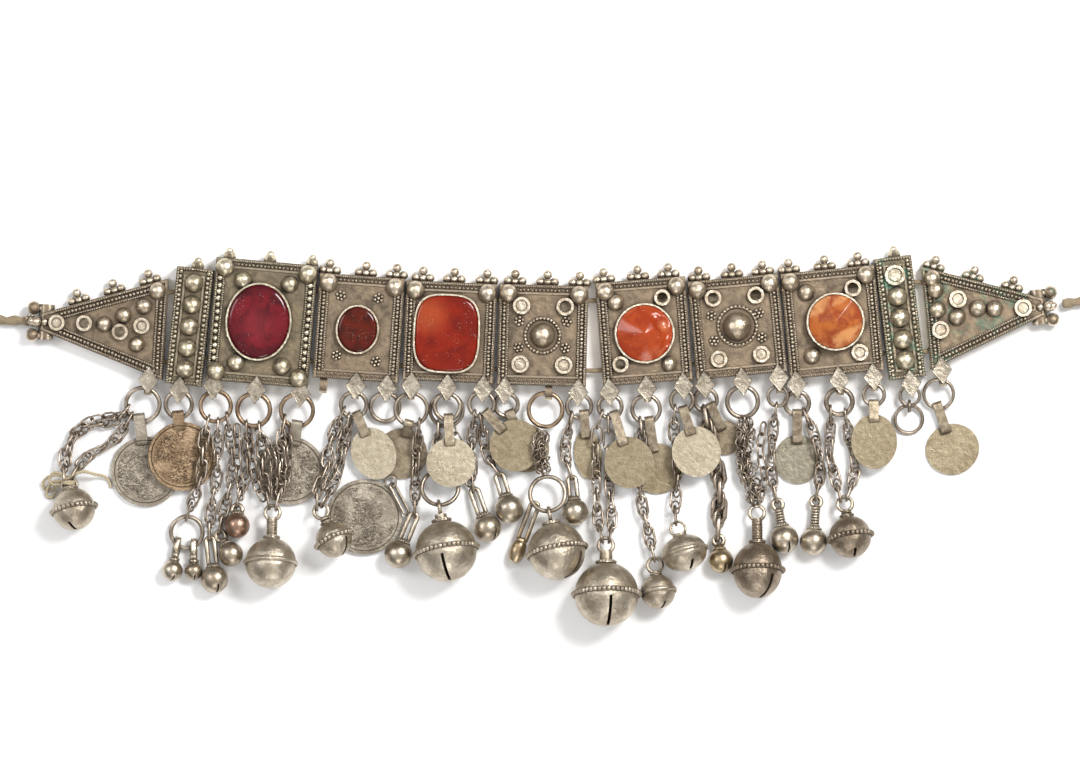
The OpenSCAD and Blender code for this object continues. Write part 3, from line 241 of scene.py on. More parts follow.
def agedMetal(name, tone, ground=None, rise=0.9, polish=0.30, dents=0.00012, relief=None, green=0.0,
              crease=1.6, patches=()):
    # colour = dark in creases (painted shade from ambient occlusion, which also stands for the tarnish in the
    # hollows) and on the ground, middle on worn faces, bright where rubbed
    k, v = Kit(name), wearAndShade
    bright, middle, dark, spots = silverTones[tone]
    p = k.place()
    z = k.node("SeparateXYZ", None, [p.link], out=2)
    blotch = k.noise(spots * mm, 4.0, 0.6, warp=0.4)
    fine = k.noise(v["fine"] * mm, 3.0, 0.65)
    wide = k.noise(v["wide"] * mm, 2.0, 0.5)
    rub = (blotch.between(*v["blotchTurns"]) * v["blotchShare"] + fine.between(*v["fineTurns"]) * v["fineShare"]
           + wide.between(*v["wideTurns"]) * v["wideShare"])
    if ground is not None:
        # raised = above the ground, or on the sides below it
        sides = 1 - z.between((ground - 0.35) * mm, (ground - 0.1) * mm)
        raised = z.between(ground * mm, (ground + rise) * mm).top(sides)
        rub = rub * (0.15 + raised * 0.95) + raised * 0.17
    for x, y, reach, other, *level in patches:
        # another metal inside a circle seen from above, and below a level if one is given
        away = k.distance(k.flat(p), (x * mm, y * mm, 0))
        inside = 1 - away.between((reach - v["softEdge"]) * mm, reach * mm)
        if level:
            inside = inside * (1 - z.between((level[0] + 0.08) * mm, (level[0] + 0.2) * mm))
        otherBright, otherMiddle, *_ = silverTones[other]
        bright, middle = k.mix(inside, bright, otherBright), k.mix(inside, middle, otherMiddle)
    colour = k.mix(rub.low(1.0), middle, bright)
    # painted shade: ambient occlusion darkens creases, parts lying close together and what lies near the floor;
    # the same mask stands for the tarnish in the silver's hollows
    shade = k.node("AmbientOcclusion", dict(samples=6, only_local=False), {"Distance": crease * mm}, out=1)
    tarnishAndShade = (1 - shade).between(*v["tarnishShadeTurns"]) * (0.68 + blotch * 0.6)
    if ground is not None:
        mottle = blotch.between(0.36, 0.66) * 0.42 + wide.between(0.45, 0.7) * 0.18
        tarnishAndShade = tarnishAndShade.top((1 - raised) * (0.20 + mottle))
    pits = k.noise(v["pit"] * mm, 4.0, 0.7).between(*v["pitTurns"]) * v["pitShare"]
    colour = k.mix(tarnishAndShade.top(pits).low(v["darkest"]), colour, dark)
    if green:
        tint = k.noise(v["verdigris"] * mm, 3.0, 0.6).between(*v["verdigrisTurns"])
        colour = k.mix(tint * tarnishAndShade.between(0.05, 0.5) * green, colour, v["verdigrisTint"])
    height = fine * 0.5 + blotch * 0.9 + k.noise(v["dent"] * mm, 2.0, 0.5) * 0.6
    if relief is not None:
        height = height + relief(k) * v["reliefShare"]
    rough = (polish + 0.14 * fine + 0.28 * tarnishAndShade + 0.10 * (1 - rub)).low(0.9)
    return k.finish(colour, rough, 0.98 - 0.5 * tarnishAndShade, height, dents)


# how far inside a coin's edge its border and its field begin, and the size of the curls, in millimetres
coinFace = dict(border=(1.1, 0.7), field=(2.2, 1.6), curls=2.6, worn=5, borderHeight=0.6, curlHeight=0.8)


def coinRelief(centre, radius, seed):
    # a worn raised border and unreadable worn curls inside it, as a height from 0 to 1
    def relief(k):
        v = coinFace
        out = k.distance(k.flat(k.place((centre[0] * mm, centre[1] * mm), seed)), (0, 0, 0))
        border, field = ([(radius - inset) * mm for inset in v[part]] for part in ("border", "field"))
        curls = k.noise(v["curls"] * mm, 1.0, 0.5, k.place(None, seed, (0.75, 1.2, 1)), 3.2)
        ridge = curls.between(0.44, 0.49) * (1 - curls.between(0.51, 0.56))
        worn = k.noise(v["worn"] * mm, 1.0, 0.5).between(0.35, 0.6)
        edge = out.between(*border) * v["borderHeight"]
        return edge + ridge * worn * (1 - out.between(*field)) * v["curlHeight"]
    return relief


# stones: deep, body and pale colour, and strength of the streaks
stoneTones = dict(
    ruby=((0.045, 0.0016, 0.005), (0.16, 0.006, 0.012), (0.36, 0.04, 0.05), 0.25),
    brownRed=((0.035, 0.003, 0.001), (0.105, 0.008, 0.001), (0.20, 0.03, 0.008), 0.2),
    cushion=((0.13, 0.005, 0.0005), (0.235, 0.012, 0.001), (0.42, 0.075, 0.02), 0.4),
    coneLeft=((0.27, 0.030, 0.006), (0.38, 0.056, 0.012), (0.58, 0.20, 0.09), 0.30),
    coneRight=((0.24, 0.042, 0.012), (0.44, 0.125, 0.025), (0.62, 0.32, 0.13), 0.6),
)

stoneWear = dict(turn=0.5, clouds=0.55, mottle=1.1, scuff=0.35, scuffTint=(0.75, 0.66, 0.62), cloudLevel=0.008)


def polishedStone(name, tone, centre, size, bands, gloss, rimShade, cloud):
    # painted shade darker towards the rim, with soft clouds inside, pale streaks where bands is not 0, and one
    # pale cloud
    k, v = Kit(name), stoneWear
    deep, body, pale, streak = tone
    p = k.place((centre[0] * mm, centre[1] * mm), v["turn"])
    out = k.distance(k.flat(p), (0, 0, 0))
    clouds = k.noise(size * v["clouds"] * mm, 3.0, 0.55, warp=0.6)
    mottle = k.noise(v["mottle"] * mm, 4.0, 0.7)
    colour = k.mix(clouds.between(0.36, 0.64) * 0.8 + mottle * 0.2, deep, body)
    # painted shade: the stone's colour darkens towards its rim
    colour = k.mix(out.between(size * 0.62 * mm, size * 1.02 * mm) * rimShade, colour, deep)
    x, y, reach, strength = cloud
    away = k.distance(k.place(), (x * mm, y * mm, v["cloudLevel"]))
    near = 1 - away.between(reach * 0.2 * mm, reach * mm)
    colour = k.mix(near * (0.5 + mottle * 0.5) * strength, colour, pale)
    if bands:
        wave = k.node("TexWave", dict(wave_type="BANDS", bands_direction="Y"),
                      {"Vector": p, "Scale": 1 / (bands * mm) / 6.28, "Distortion": 3.0, "Detail": 2.0,
                       "Detail Scale": 1.5})
        colour = k.mix(wave.between(0.62, 0.95) * streak * clouds.between(0.3, 0.6), colour, pale)
    scuff = k.noise(v["scuff"] * mm, 2.0, 0.7).between(0.63, 0.72) * k.noise(4 * mm).between(0.5, 0.62)
    colour = k.mix(scuff * 0.5, colour, v["scuffTint"])
    height = k.noise(3.4 * mm, 1.0, 0.4) + mottle * 0.15
    return k.finish(colour, gloss + scuff * 0.35 + mottle * 0.05, None, height, 0.00008, Coat_Weight=0.05,
                    Coat_Roughness=0.08, Specular_IOR_Level=0.28)


# mesh helpers
groundGap = 0.02    # what lies on the ground stays this far above it, in millimetres


def pieceFrom(name, points, faces, material, slotName, flat=False, lowest=None, instead=None):
    # points are in millimetres, and are lifted to the lowest level; the piece may stand instead of a node
    points = np.array(points, float)
    if lowest is not None:
        points[:, 2] = np.maximum(points[:, 2], lowest)
    mesh = bpy.data.meshes.new(name)
    mesh.from_pydata((points * mm).tolist(), [], np.asarray(faces).tolist())
    mesh.polygons.foreach_set("use_smooth", np.full(len(mesh.polygons), not flat))
    mesh.materials.append(material)
    mesh.update()
    obj = bpy.data.objects.new(name, mesh)
    bpy.context.collection.objects.link(obj)
    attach(obj, "root")
    if instead:
        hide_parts(instead)
    return obj


def joined(parts):
    # several pairs of points and faces as one
    sizes = np.cumsum([0] + [len(p) for p, f in parts])
    faces = np.vstack([np.asarray(f) + n for (p, f), n in zip(parts, sizes)])
    return np.vstack([p for p, f in parts]), faces


def anglesRound(n):
    return np.arange(n) / n * 2 * math.pi


def unit(v):
    return v / np.linalg.norm(v, axis=-1, keepdims=True)


def squareTo(axis):
    # two directions square to an axis, the first of them level
    side = unit(np.cross([0, 0, 1.0], axis))
    return side, np.cross(axis, side)


def gridFaces(rows, around, closed=False, turned=False):
    # quads between neighbouring rings of points; closed joins the last ring to the first
    i, j = np.meshgrid(np.arange(rows if closed else rows - 1), np.arange(around), indexing="ij")
    k, m = (i + 1) % rows, (j + 1) % around
    quads = np.stack([i * around + j, i * around + m, k * around + m, k * around + j], -1).reshape(-1, 4)
    return quads[:, [0, 3, 2, 1]] if turned else quads


def endedFaces(rows, around):
    # rings joined, the first and the last filled with a fan of quads
    fan = np.array([[0, m, m + 1, m + 2] for m in range(1, around - 2, 2)])
    first, last = fan[:, [0, 3, 2, 1]], fan[:, [1, 2, 3, 0]] + (rows - 1) * around
    return np.vstack([gridFaces(rows, around), first, last])


def poleFaces(rows, around):
    # rings joined, with quads to a lower and an upper pole, the two points that follow the rings
    a = np.arange(0, around, 2)
    b, c, pole, last = a + 1, (a + 2) % around, np.full(len(a), rows * around), (rows - 1) * around
    return np.vstack([gridFaces(rows, around), np.stack([pole, c, b, a], -1),
                      np.stack([pole + 1, last + a, last + b, last + c], -1)])


def grains(centres, radius, height=1.0):
    # round grains: an eight-sided sphere of five bands, repeated at every centre
    around, bands = 8, 5
    lat = (np.arange(1, bands) / bands - 0.5) * math.pi
    lon = anglesRound(around)
    ring = np.stack([np.outer(np.cos(lat), np.cos(lon)), np.outer(np.cos(lat), np.sin(lon)),
                     np.outer(np.sin(lat), np.ones(around))], -1).reshape(-1, 3)
    ball = np.vstack([ring, [[0, 0, -1], [0, 0, 1]]]) * np.array([1, 1, height]) * radius
    points = np.asarray(centres, float)[:, None, :] + ball[None]
    steps = (np.arange(len(centres)) * len(ball))[:, None, None]
    return points.reshape(-1, 3), (poleFaces(bands - 1, around)[None] + steps).reshape(-1, 4)


def curveThrough(points, n):
    # Catmull-Rom curve, n steps a span
    p = np.asarray(points, float)
    q = np.vstack([p[:1], p, p[-1:]])
    u = (np.arange(n) / n)[:, None]
    a, b, c, d = (q[i:len(q) - 3 + i] for i in range(4))
    spans = [(2 * b[i] + (c[i] - a[i]) * u + (2 * a[i] - 5 * b[i] + 4 * c[i] - d[i]) * u ** 2
              + (3 * b[i] - a[i] - 3 * c[i] + d[i]) * u ** 3) / 2 for i in range(len(a))]
    return np.vstack(spans + [p[-1:]])


def runAlong(path):
    # distance along a path at each of its points
    return np.concatenate([[0], np.cumsum(np.linalg.norm(np.diff(path, axis=0), axis=1))])


def evenly(path, gap):
    # points at equal distances along a path
    away = runAlong(path)
    at = np.linspace(0, away[-1], max(2, round(away[-1] / gap) + 1))
    return np.stack([np.interp(at, away, path[:, k]) for k in range(3)], -1)


def tubeAlong(path, radius, sides=8, plies=0, pitch=1.0, closed=False, groove=0.40):
    # circle carried along a path; with plies its radius swells plies times round, turning once a pitch
    way = unit(np.roll(path, -1, 0) - np.roll(path, 1, 0) if closed else np.gradient(path, axis=0))
    up = np.where(np.abs(way[:, 2:3]) > 0.9, np.array([[0, 1.0, 0]]), np.array([[0, 0, 1.0]]))
    side = unit(np.cross(up, way))
    above = np.cross(way, side)
    angle = anglesRound(sides)
    r = np.full((len(path), sides), float(radius))
    if plies:
        turn = runAlong(path) / pitch * 2 * math.pi
        r *= 1 - groove + groove * np.abs(np.cos((angle[None] - turn[:, None]) * plies / 2))
    out = (r * np.cos(angle))[..., None] * side[:, None] + (r * np.sin(angle))[..., None] * above[:, None]
    faces = gridFaces(len(path), sides, closed=True) if closed else endedFaces(len(path), sides)
    return (path[:, None] + out).reshape(-1, 3), faces


# tie cord
tieCord = dict(
    diameter=3.0, plies=2, pitch=9.0,
    leaves=[(-154, 34.8, 2.5), (-158, 35, 2.3), (-162, 35, 2), (-166, 36.5, 1.6)],
    level=1.5, lying=[
        (-169, 40.5), (-170, 46), (-170.5, 56), (-171, 68), (-171, 80), (-171, 92), (-171, 104),
        (-171, 116), (-170.5, 124), (-168, 130), (-163, 134), (-156, 135.5), (-140, 136), (-110, 136),
        (-70, 135.5), (-30, 136), (0, 136), (30, 135.5), (70, 136), (110, 136), (140, 136), (156, 135.5),
        (163, 134), (168, 130), (170.5, 124), (171, 116), (171, 104), (171, 92), (171, 80), (170.5, 68),
        (170, 56), (169.5, 50), (168, 45)],
    arrives=[(164.5, 41.5, 1.8), (160, 40.5, 2.3), (156.4, 40, 2.5)],
)


def cottonMaterial(name, pale, dark):
    # fibres run with the ply: fine stretched noise, with painted shade darker in the grooves
    k = Kit(name)
    fibre = k.noise(0.28 * mm, 3.0, 0.7, warp=0.8)
    dirt = k.noise(7 * mm, 3.0, 0.6)
    shade = k.node("AmbientOcclusion", dict(samples=4), {"Distance": 1.0 * mm}, out=1)
    colour = k.mix(fibre.between(0.3, 0.7) * 0.6 + dirt * 0.3, dark, pale)
    # painted shade: the ambient occlusion darkens the grooves between the plies towards dark brown
    colour = k.mix((1 - shade).between(0.1, 0.7), colour, (0.16, 0.12, 0.075))
    return k.finish(colour, 0.86 + fibre * 0.1, None, fibre, 0.00025, Specular_IOR_Level=0.25)


cotton = cottonMaterial("twistedCotton", (0.42, 0.34, 0.23), (0.20, 0.15, 0.09))
lying = [(x, y, tieCord["level"]) for x, y in tieCord["lying"]]
cordLine = curveThrough(tieCord["leaves"] + lying + tieCord["arrives"], 6)
cordTube = tubeAlong(evenly(cordLine, 0.7), tieCord["diameter"] / 2, 12, tieCord["plies"], tieCord["pitch"])
cord = pieceFrom("tieCordTwisted", *cordTube, cotton, "cotton_cord", instead="tie_cord")


# plates and their granulation
plates = dict(
    left_end_plate=dict(kind="end", w=37.5, h=30.5, turn=-3.5, at=(-113.03, 32.3), top=5, side=-1),
    left_bar=dict(kind="bar", w=11.0, h=35.28, turn=-6, at=(-105.76, 33.2), top=6),
    box_1=dict(kind="knobbed", w=30.51, h=36.91, turn=-5, at=(-83.99, 34.3), top=6),
    box_2=dict(kind="box", w=25.65, h=31.41, turn=-4, at=(-54.9, 32.7), top=6),
    box_3=dict(kind="box", w=27.27, h=29.89, turn=-2.5, at=(-27.68, 31.5), top=6),
    box_4=dict(kind="box", w=26.73, h=30.2, turn=-1.5, at=(0.2, 30.5), top=6),
    box_5=dict(kind="box", w=27.0, h=31.11, turn=4.5, at=(30.62, 31.7), top=6),
    box_6=dict(kind="box", w=27.27, h=29.59, turn=5.5, at=(58.55, 33.1), top=6),
    box_7=dict(kind="box", w=28.35, h=31.72, turn=5.5, at=(87.03, 34.5), top=6),
    right_bar=dict(kind="bar", w=11.0, h=36.72, turn=7, at=(107.4, 35.8), top=6),
    right_end_plate=dict(kind="end", w=35.62, h=31.11, turn=5.5, at=(115.26, 35.7), top=5, side=1),
)
endTip = 2.5    # half the height of an end plate's tip
# rows of grains on the plates. Upright rows, along both sides: inset, gap, grain radius, lift over the face,
# flattening, and how far they stop from the foot and the head. Level rows: 1 for the head or -1 for the foot,
# inset, how far they stop from the sides, gap, grain radius, lift, flattening
lowLevels = [(-1, 1.65, 3.4, 1.3, 0.5, -0.02, 0.45), (-1, 0.55, 1, 0.62, 0.30, 0.40, 1)]
granules = dict(
    bar=dict(upright=[(1.35, 1.35, 0.72, 0.15, 0.8, 0.8, 0.8), (0.5, 0.8, 0.40, 0.35, 1, 0.6, 0.6)],
             level=[(1, 0.6, 1, 0.8, 0.40, 0.35, 1), (-1, 0.6, 1, 0.8, 0.40, 0.35, 1)]),
    box=dict(upright=[(0.62, 0.70, 0.36, 0.45, 1, 2.2, 5.2), (2.75, 0.70, 0.36, 0.42, 1, 2.2, 5.2),
                      (1.7, 1.12, 0.60, 0.22, 0.8, 2.2, 5.2)],
             level=[(1, 1.65, 5.8, 1.12, 0.48, 0.15, 0.75), (1, 0.55, 4.8, 0.62, 0.32, 0.42, 1), *lowLevels]),
    knobbed=dict(upright=[(0.62, 0.70, 0.36, 0.45, 1, 3.6, 5.2), (2.75, 0.70, 0.36, 0.42, 1, 3.6, 5.2),
                          (1.7, 1.95, 0.95, 0.3, 0.85, 3.6, 5.2)],
                 level=[(1, 1.65, 6.2, 1.12, 0.48, 0.15, 0.75), (1, 0.55, 5.2, 0.62, 0.32, 0.42, 1),
                        *lowLevels]),
    # inset, gap, grain radius, lift and flattening of the rows inside an end plate's three sides
    end=dict(rows=[(0.6, 0.7, 0.36, 0.42, 1), (1.75, 1.12, 0.58, 0.2, 0.8), (2.9, 0.7, 0.36, 0.42, 1)],
             fromCrest=5.2, fromBase=0.4, fromTip=3.5, tipNarrows=1.2, fromFoot=0.5, fromHead=4.2),
    uneven=0.04,
)
rosette = dict(count=6, out=1.12, lift=0.25, crown=0.65, size=0.56)
boss = dict(count=30, lift=0.3, size=0.58)
rng = np.random.default_rng(7)


def inWorld(plate, local):
    # a plate's own millimetres to the necklace's
    a = math.radians(plate["turn"])
    c, s = math.cos(a), math.sin(a)
    p = np.asarray(local, float)
    x, y = plate["at"]
    return np.stack([x + p[:, 0] * c - p[:, 1] * s, y + p[:, 0] * s + p[:, 1] * c, p[:, 2]], -1)


def grainRow(plate, a, b, gap, size, lift, squash):
    # grains in a straight row from a to b on a plate's face, a little uneven
    a, b = np.asarray(a, float), np.asarray(b, float)
    n = max(2, int(np.linalg.norm(b - a) / gap))
    t = (np.arange(n) + 0.5) / n
    line = a[None] + (b - a)[None] * t[:, None]
    line = line + rng.normal(0, gap * granules["uneven"], line.shape)
    return grains(inWorld(plate, np.column_stack([line, np.full(n, plate["top"] + lift)])), size, squash)


def ringAt(x, y, z, r, v, turn=0.0):
    # middles of grains in one level circle
    a = anglesRound(v["count"]) + turn
    return np.column_stack([x + r * np.cos(a), y + r * np.sin(a), np.full(len(a), z + v["lift"])])


rosettes = dict(
    box_2=[(341, 295.5), (378.6, 298.2), (336.6, 355.4), (375.9, 361.6)],
    box_4=[(519.3, 321), (566.6, 321.4), (518.4, 347.3), (565.2, 347.9)],
    box_6=[(711.4, 315.7), (758.8, 313), (713.9, 341), (761.8, 337.5)],
    left_end_plate=[(30.4, 318.8)],
)
bossRings = dict(box_4=((542.5, 335.7), 5.2), box_6=((737.3, 325.9), 5.8))


def photoPoint(x, y):
    # 0.3 mm for one step of the layout grid, from its middle at (542, 437)
    return (x - 542) * 0.3, (437 - y) * 0.3


def sideGranules(p, rows):
    # upright rows on the left, then on the right, then the level rows
    w, h = p["w"] / 2, p["h"] / 2
    parts = []
    for s in (-1, 1):
        for inset, gap, size, lift, squash, foot, head in rows["upright"]:
            x = s * (w - inset)
            parts.append(grainRow(p, (x, -h + foot), (x, h - head), gap, size, lift, squash))
    for end, inset, short, gap, size, lift, squash in rows["level"]:
        y = end * (h - inset)
        parts.append(grainRow(p, (short - w, y), (w - short, y), gap, size, lift, squash))
    return parts


def endSlope(p):
    # how fast an end plate's half height falls from its base to its tip
    return (p["h"] / 2 - endTip) / p["w"]


def endGranules(p, v):
    # rows at each inset inside the three sides of the triangle
    h, s, slope = p["h"] / 2, p["side"], endSlope(p)
    lean = math.hypot(1, slope)
    parts = []
    for inset, gap, size, lift, squash in v["rows"]:
        for side in (-1, 1):
            start = v["fromCrest"] if side > 0 else inset + v["fromBase"]
            stop = p["w"] - v["fromTip"] - v["tipNarrows"] * inset
            a, b = ((s * d, side * (h - slope * d - inset * lean)) for d in (start, stop))
            parts.append(grainRow(p, a, b, gap, size, lift, squash))
        reach = h - slope * inset - inset * lean
        a, b = (s * inset, v["fromFoot"] - reach), (s * inset, reach - v["fromHead"])
        parts.append(grainRow(p, a, b, gap, size, lift, squash))
    return parts


verdigris = dict(right_bar=0.7, right_end_plate=0.45)
plateMaterials = {}
for name, p in plates.items():
    tone = "bar" if p["kind"] in ("bar", "knobbed") else "plate"
    plateMaterials[name] = agedMetal(name + "Silver", tone, ground=p["top"] - 0.1, rise=1.3, polish=0.25,
                                     dents=0.0002, green=verdigris.get(name, 0.0), crease=2.1)
    rows = granules[p["kind"]]
    parts = endGranules(p, rows) if p["kind"] == "end" else sideGranules(p, rows)
    for spot in rosettes.get(name, []):
        # grains round one that sits higher
        x, y = photoPoint(*spot)
        cluster = ringAt(x, y, p["top"], rosette["out"], rosette, rng.uniform(0, 1))
        parts.append(grains(np.vstack([cluster, [[x, y, p["top"] + rosette["crown"]]]]), rosette["size"]))
    if name in bossRings:
        spot, r = bossRings[name]
        parts.append(grains(ringAt(*photoPoint(*spot), p["top"], r, boss), boss["size"]))
    pieceFrom(name + "Granules", *joined(parts), plateMaterials[name], "aged_silver_plates")
print("granulation on", len(plates), "plates")


# the hooks' diamond heads: thin hammered plates with a rubbed edge, one closed shell over each CAD diamond
hookHeads = dict(
    wide=6.0, long=8.4, down=1.7, over=0.6, around=32,
    profile=[(1.03, -0.20), (1.03, 0.06), (0.98, 0.20), (0.86, 0.15), (0.5, 0.12)],
    rows=dict(left_end_plate=[0.11], left_bar=[-0.2], box_1=[-0.84, 0, 0.88], box_2=[0.02, 0.75],
              box_3=[-0.79, 0, 0.79], box_4=[-0.82, 0.83], box_5=[-0.87, -0.04, 0.78], box_6=[-0.83, 0, 0.8],
              box_7=[-0.88, 0.03, 0.76], right_bar=[0.15], right_end_plate=[0.09]),
)


def diamondShell(v):
    # outlines of |x| / a + |y| / b = share; share and height follow the profile from the foot to the middle
    t = np.arange(v["around"]) / v["around"] * 4
    quarter, part = t.astype(int), t % 1
    x = np.choose(quarter, [1 - part, -part, part - 1, part]) * v["wide"] / 2
    y = np.choose(quarter, [part, 1 - part, -part, part - 1]) * v["long"] / 2
    share, height = np.array(v["profile"]).T
    height = height + v["over"]
    rings = np.stack([np.outer(share, x), np.outer(share, y), np.outer(height, np.ones(len(t)))], -1)
    points = np.vstack([rings.reshape(-1, 3), [[0, 0, height[0]], [0, 0, height[-1]]]])
    return points, poleFaces(len(share), len(t))


parts = []
for name, shares in hookHeads["rows"].items():
    p = plates[name]
    for share in shares:
        if p["kind"] == "end":
            x, y = p["side"] * share * p["w"], endSlope(p) * share * p["w"] - p["h"] / 2
        else:
            x, y = share * p["w"] / 2, -p["h"] / 2
        points, faces = diamondShell(hookHeads)
        parts.append((inWorld(p, points + [x, y - hookHeads["down"], p["top"]]), faces))
headMaterial = agedMetal("headSilver", "diamond", polish=0.30, dents=0.00022, crease=1.0)
pieceFrom("hookHeads", *joined(parts), headMaterial, "aged_silver_plates", flat=True)
print("hook heads", len(parts))


# stones: place on the plate, half sizes, squareness of the outline, height of the collar and rise above it.
# A flat stone has a table, as a share of its outline, and a cone has facets, by direction, or chips: place,
# radius and depth
stones = dict(
    ruby_glass_stone=dict(on="box_1", at=(-1.0, 0.2), rx=9.2, ry=11.0, square=2.0, collar=2.0, rise=1.1,
                          table=0.80, slot="ruby_glass"),
    small_oval_stone=dict(on="box_2", at=(-0.4, -0.5), rx=5.8, ry=6.7, square=2.0, collar=1.8, rise=0.7,
                          table=0.80, slot="brown_red_stone"),
    cushion_carnelian=dict(on="box_3", at=(-0.9, -0.5), rx=9.3, ry=11.2, square=3.2, collar=1.6, rise=0.8,
                           table=0.88, slot="orange_carnelian"),
    cone_carnelian_left=dict(on="box_5", at=(0.1, -0.6), rx=8.3, ry=8.3, square=2.0, collar=2.0, rise=3.6,
                             chips=[(5.2, 2.4, 2.3, 0.8), (6.3, -0.8, 1.9, 0.9), (6.0, -3.4, 1.5, 0.6),
                                    (3.4, 4.2, 1.5, 0.35)], slot="banded_carnelian"),
    cone_carnelian_right=dict(on="box_7", at=(0.9, 0.0), rx=8.0, ry=8.0, square=2.0, collar=3.4, rise=3.2,
                              facets=[20, 75, 140, 200, 255, 320], slot="banded_carnelian"),
)


def stoneSurface(s):
    # rings of a rounded outline shrink towards the middle while they rise: along a quarter wave to a table,
    # or up a cone
    around, foot, collar, rise = 96, 0.2, s["collar"], s["rise"]
    a = anglesRound(around)
    c, d = np.cos(a), np.sin(a)
    outline = np.stack([s["rx"] * np.sign(c) * np.abs(c) ** (2 / s["square"]),
                        s["ry"] * np.sign(d) * np.abs(d) ** (2 / s["square"])], -1)
    if "table" in s:
        side, top = np.linspace(0, 1, 14)[1:] * math.pi / 2, np.linspace(0, 1, 8)[1:] * math.pi / 2
        table = s["table"]
        share = np.concatenate([table + (1 - table) * np.cos(side), np.linspace(table, 0.02, 8)[1:]])
        crown = np.concatenate([0.8 * np.sin(side), 0.8 + 0.2 * np.sin(top)])
    else:
        share = np.linspace(0.99, 0.02, 26)
        crown = 1 - share ** 1.15
    share = np.concatenate([[0.03, 1, 1], share])
    z = np.concatenate([[foot, foot, collar], collar + rise * crown])[:, None] * np.ones(around)
    off = share[:, None, None] * outline[None]
    if "facets" in s:
        # height = the lowest of the facet planes
        way = np.radians(s["facets"])
        planes = np.stack([off[..., 0] * np.cos(w) + off[..., 1] * np.sin(w) for w in way], -1)
        cut = collar + rise * 1.02 - np.maximum(planes.max(-1), 0) / s["rx"] * rise
        z[3:] = np.clip(cut[3:], collar, collar + rise * 0.97)
    for x, y, r, deep in s.get("chips", []):
        # shell-shaped chip
        q = np.hypot(off[..., 0] - x, off[..., 1] - y) / r
        z[3:] -= (deep * np.clip(1 - q ** 2, 0, 1))[3:]
    plate = plates[s["on"]]
    local = np.concatenate([off + np.array(s["at"]), z[..., None] + plate["top"]], -1).reshape(-1, 3)
    return inWorld(plate, local), endedFaces(len(share), around)


# tone, width of its bands, roughness, strength of the painted shade at the rim, and the pale cloud: place,
# reach and strength
stoneLooks = dict(
    ruby_glass_stone=("ruby", 0, 0.07, 0.85, (-85.5, 33.5, 7.5, 0.35)),
    small_oval_stone=("brownRed", 0, 0.10, 0.5, (-58.5, 30.6, 2.4, 0.35)),
    cushion_carnelian=("cushion", 0, 0.12, 0.35, (-34.0, 36.5, 8.0, 0.75)),
    cone_carnelian_left=("coneLeft", 9.0, 0.14, 0.2, (36.2, 33.2, 2.6, 0.7)),
    cone_carnelian_right=("coneRight", 6.0, 0.12, 0.3, (90.5, 37.5, 4.0, 0.5)),
)
for name, s in stones.items():
    toneName, bands, gloss, rimShade, cloud = stoneLooks[name]
    where = inWorld(plates[s["on"]], [(*s["at"], 0)])[0]
    look = polishedStone(name + "Polish", stoneTones[toneName], where, s["ry"], bands, gloss, rimShade, cloud)
    pieceFrom(name + "Cut", *stoneSurface(s), look, s["slot"], flat="facets" in s, instead=name)
print("stones cut")


# bells: the loop's top, the body's middle, its radius, where the neck ends as a share of it, and the belt
drops = dict(
    bell_1=(-142.2, -12.3, 4.66, -140.4, -21.6, 6.85, 6.4, 1, "beaded"),
    bell_2=(-80.8, -20.6, 4.10, -81.3, -37.7, 8.05, 7.6, 1, "plain"),
    bell_3=(-67.1, -20.3, 4.95, -62.4, -30.7, 7.55, 5.4, 1, "beaded"),
    bell_4=(-31.0, -19.3, 6.19, -28.7, -34.1, 9.65, 9.2, 1, "beaded"),
    bell_5=(1.9, -21.2, 5.99, 4.4, -34.2, 9.05, 8.6, 1, "beaded"),
    bell_6=(19.1, -30.3, 6.17, 19.3, -47.1, 10.05, 9.6, 1, "beaded"),
    bell_7=(33.6, -36.4, 3.42, 34.8, -46.4, 5.75, 5.2, 1, "plain"),
    bell_9=(64.5, -20.7, 3.42, 64.6, -39.9, 7.85, 7.4, 1.15, "beaded"),
    bell_10=(90.6, -18.0, 3.97, 92.4, -29.9, 6.75, 6.3, 1, "beaded"),
)
# small balls: the loop's top, the middle and the radius
balls = [
    (-109.6, -32.4, 1.5, -111.0, -40.1, 3.1, 3.1), (-104.6, -32.9, 1.5, -104.6, -40.3, 2.7, 2.7),
    (-99.8, -30.2, 2.1, -98.3, -42.7, 4.1, 4.1), (-91.5, -20.4, 2.4, -91.5, -26.6, 3.8, 3.8),
    (-97.2, -28.4, 2.1, -93.4, -35.2, 3.7, 3.7), (-38.2, -23.0, 2.1, -43.1, -35.2, 4.2, 4.2),
    (-20.6, -15.6, 2.1, -16.4, -27.3, 4.2, 4.2), (-13.0, -11.1, 2.1, -9.8, -21.6, 4.3, 4.3),
    (-1.9, -19.8, 4.7, -7.4, -34.4, 2.5, 2.4), (8.9, -12.0, 2.1, 9.9, -22.5, 4.0, 4.0),
    (52.8, -29.7, 2.5, 53.7, -37.1, 3.7, 3.7), (70.5, -18.9, 2.1, 72.7, -30.6, 4.3, 4.3),
    (82.4, -18.0, 2.1, 81.5, -31.4, 4.1, 4.1),
]
# rings of grains, as distance out from the body, place along its axis, gap and grain radius;
# a ball's collars give the first two as shares of its radius
belts = dict(
    beaded=[(0.36, 0, 1.35, 0.80)],
    plain=[(0.12, -0.55, 0.55, 0.24), (0.12, 0.55, 0.55, 0.24)],
    collars=[(0.45, 0.93, 0.72, 0.42), (0.35, 1.03, 0.66, 0.36)],
    neck=dict(least=1.4, share=0.32, fit=0.92, above=0.25, gap=0.85, size=0.42),
    collarsFrom=3.3,
)


def grainRing(mid, axis, radius, along, gap, size):
    # grains on a circle square to an axis
    side, above = squareTo(axis)
    a = anglesRound(int(2 * math.pi * radius / gap))[:, None]
    return grains(mid + axis * along + radius * (np.cos(a) * side + np.sin(a) * above), size)


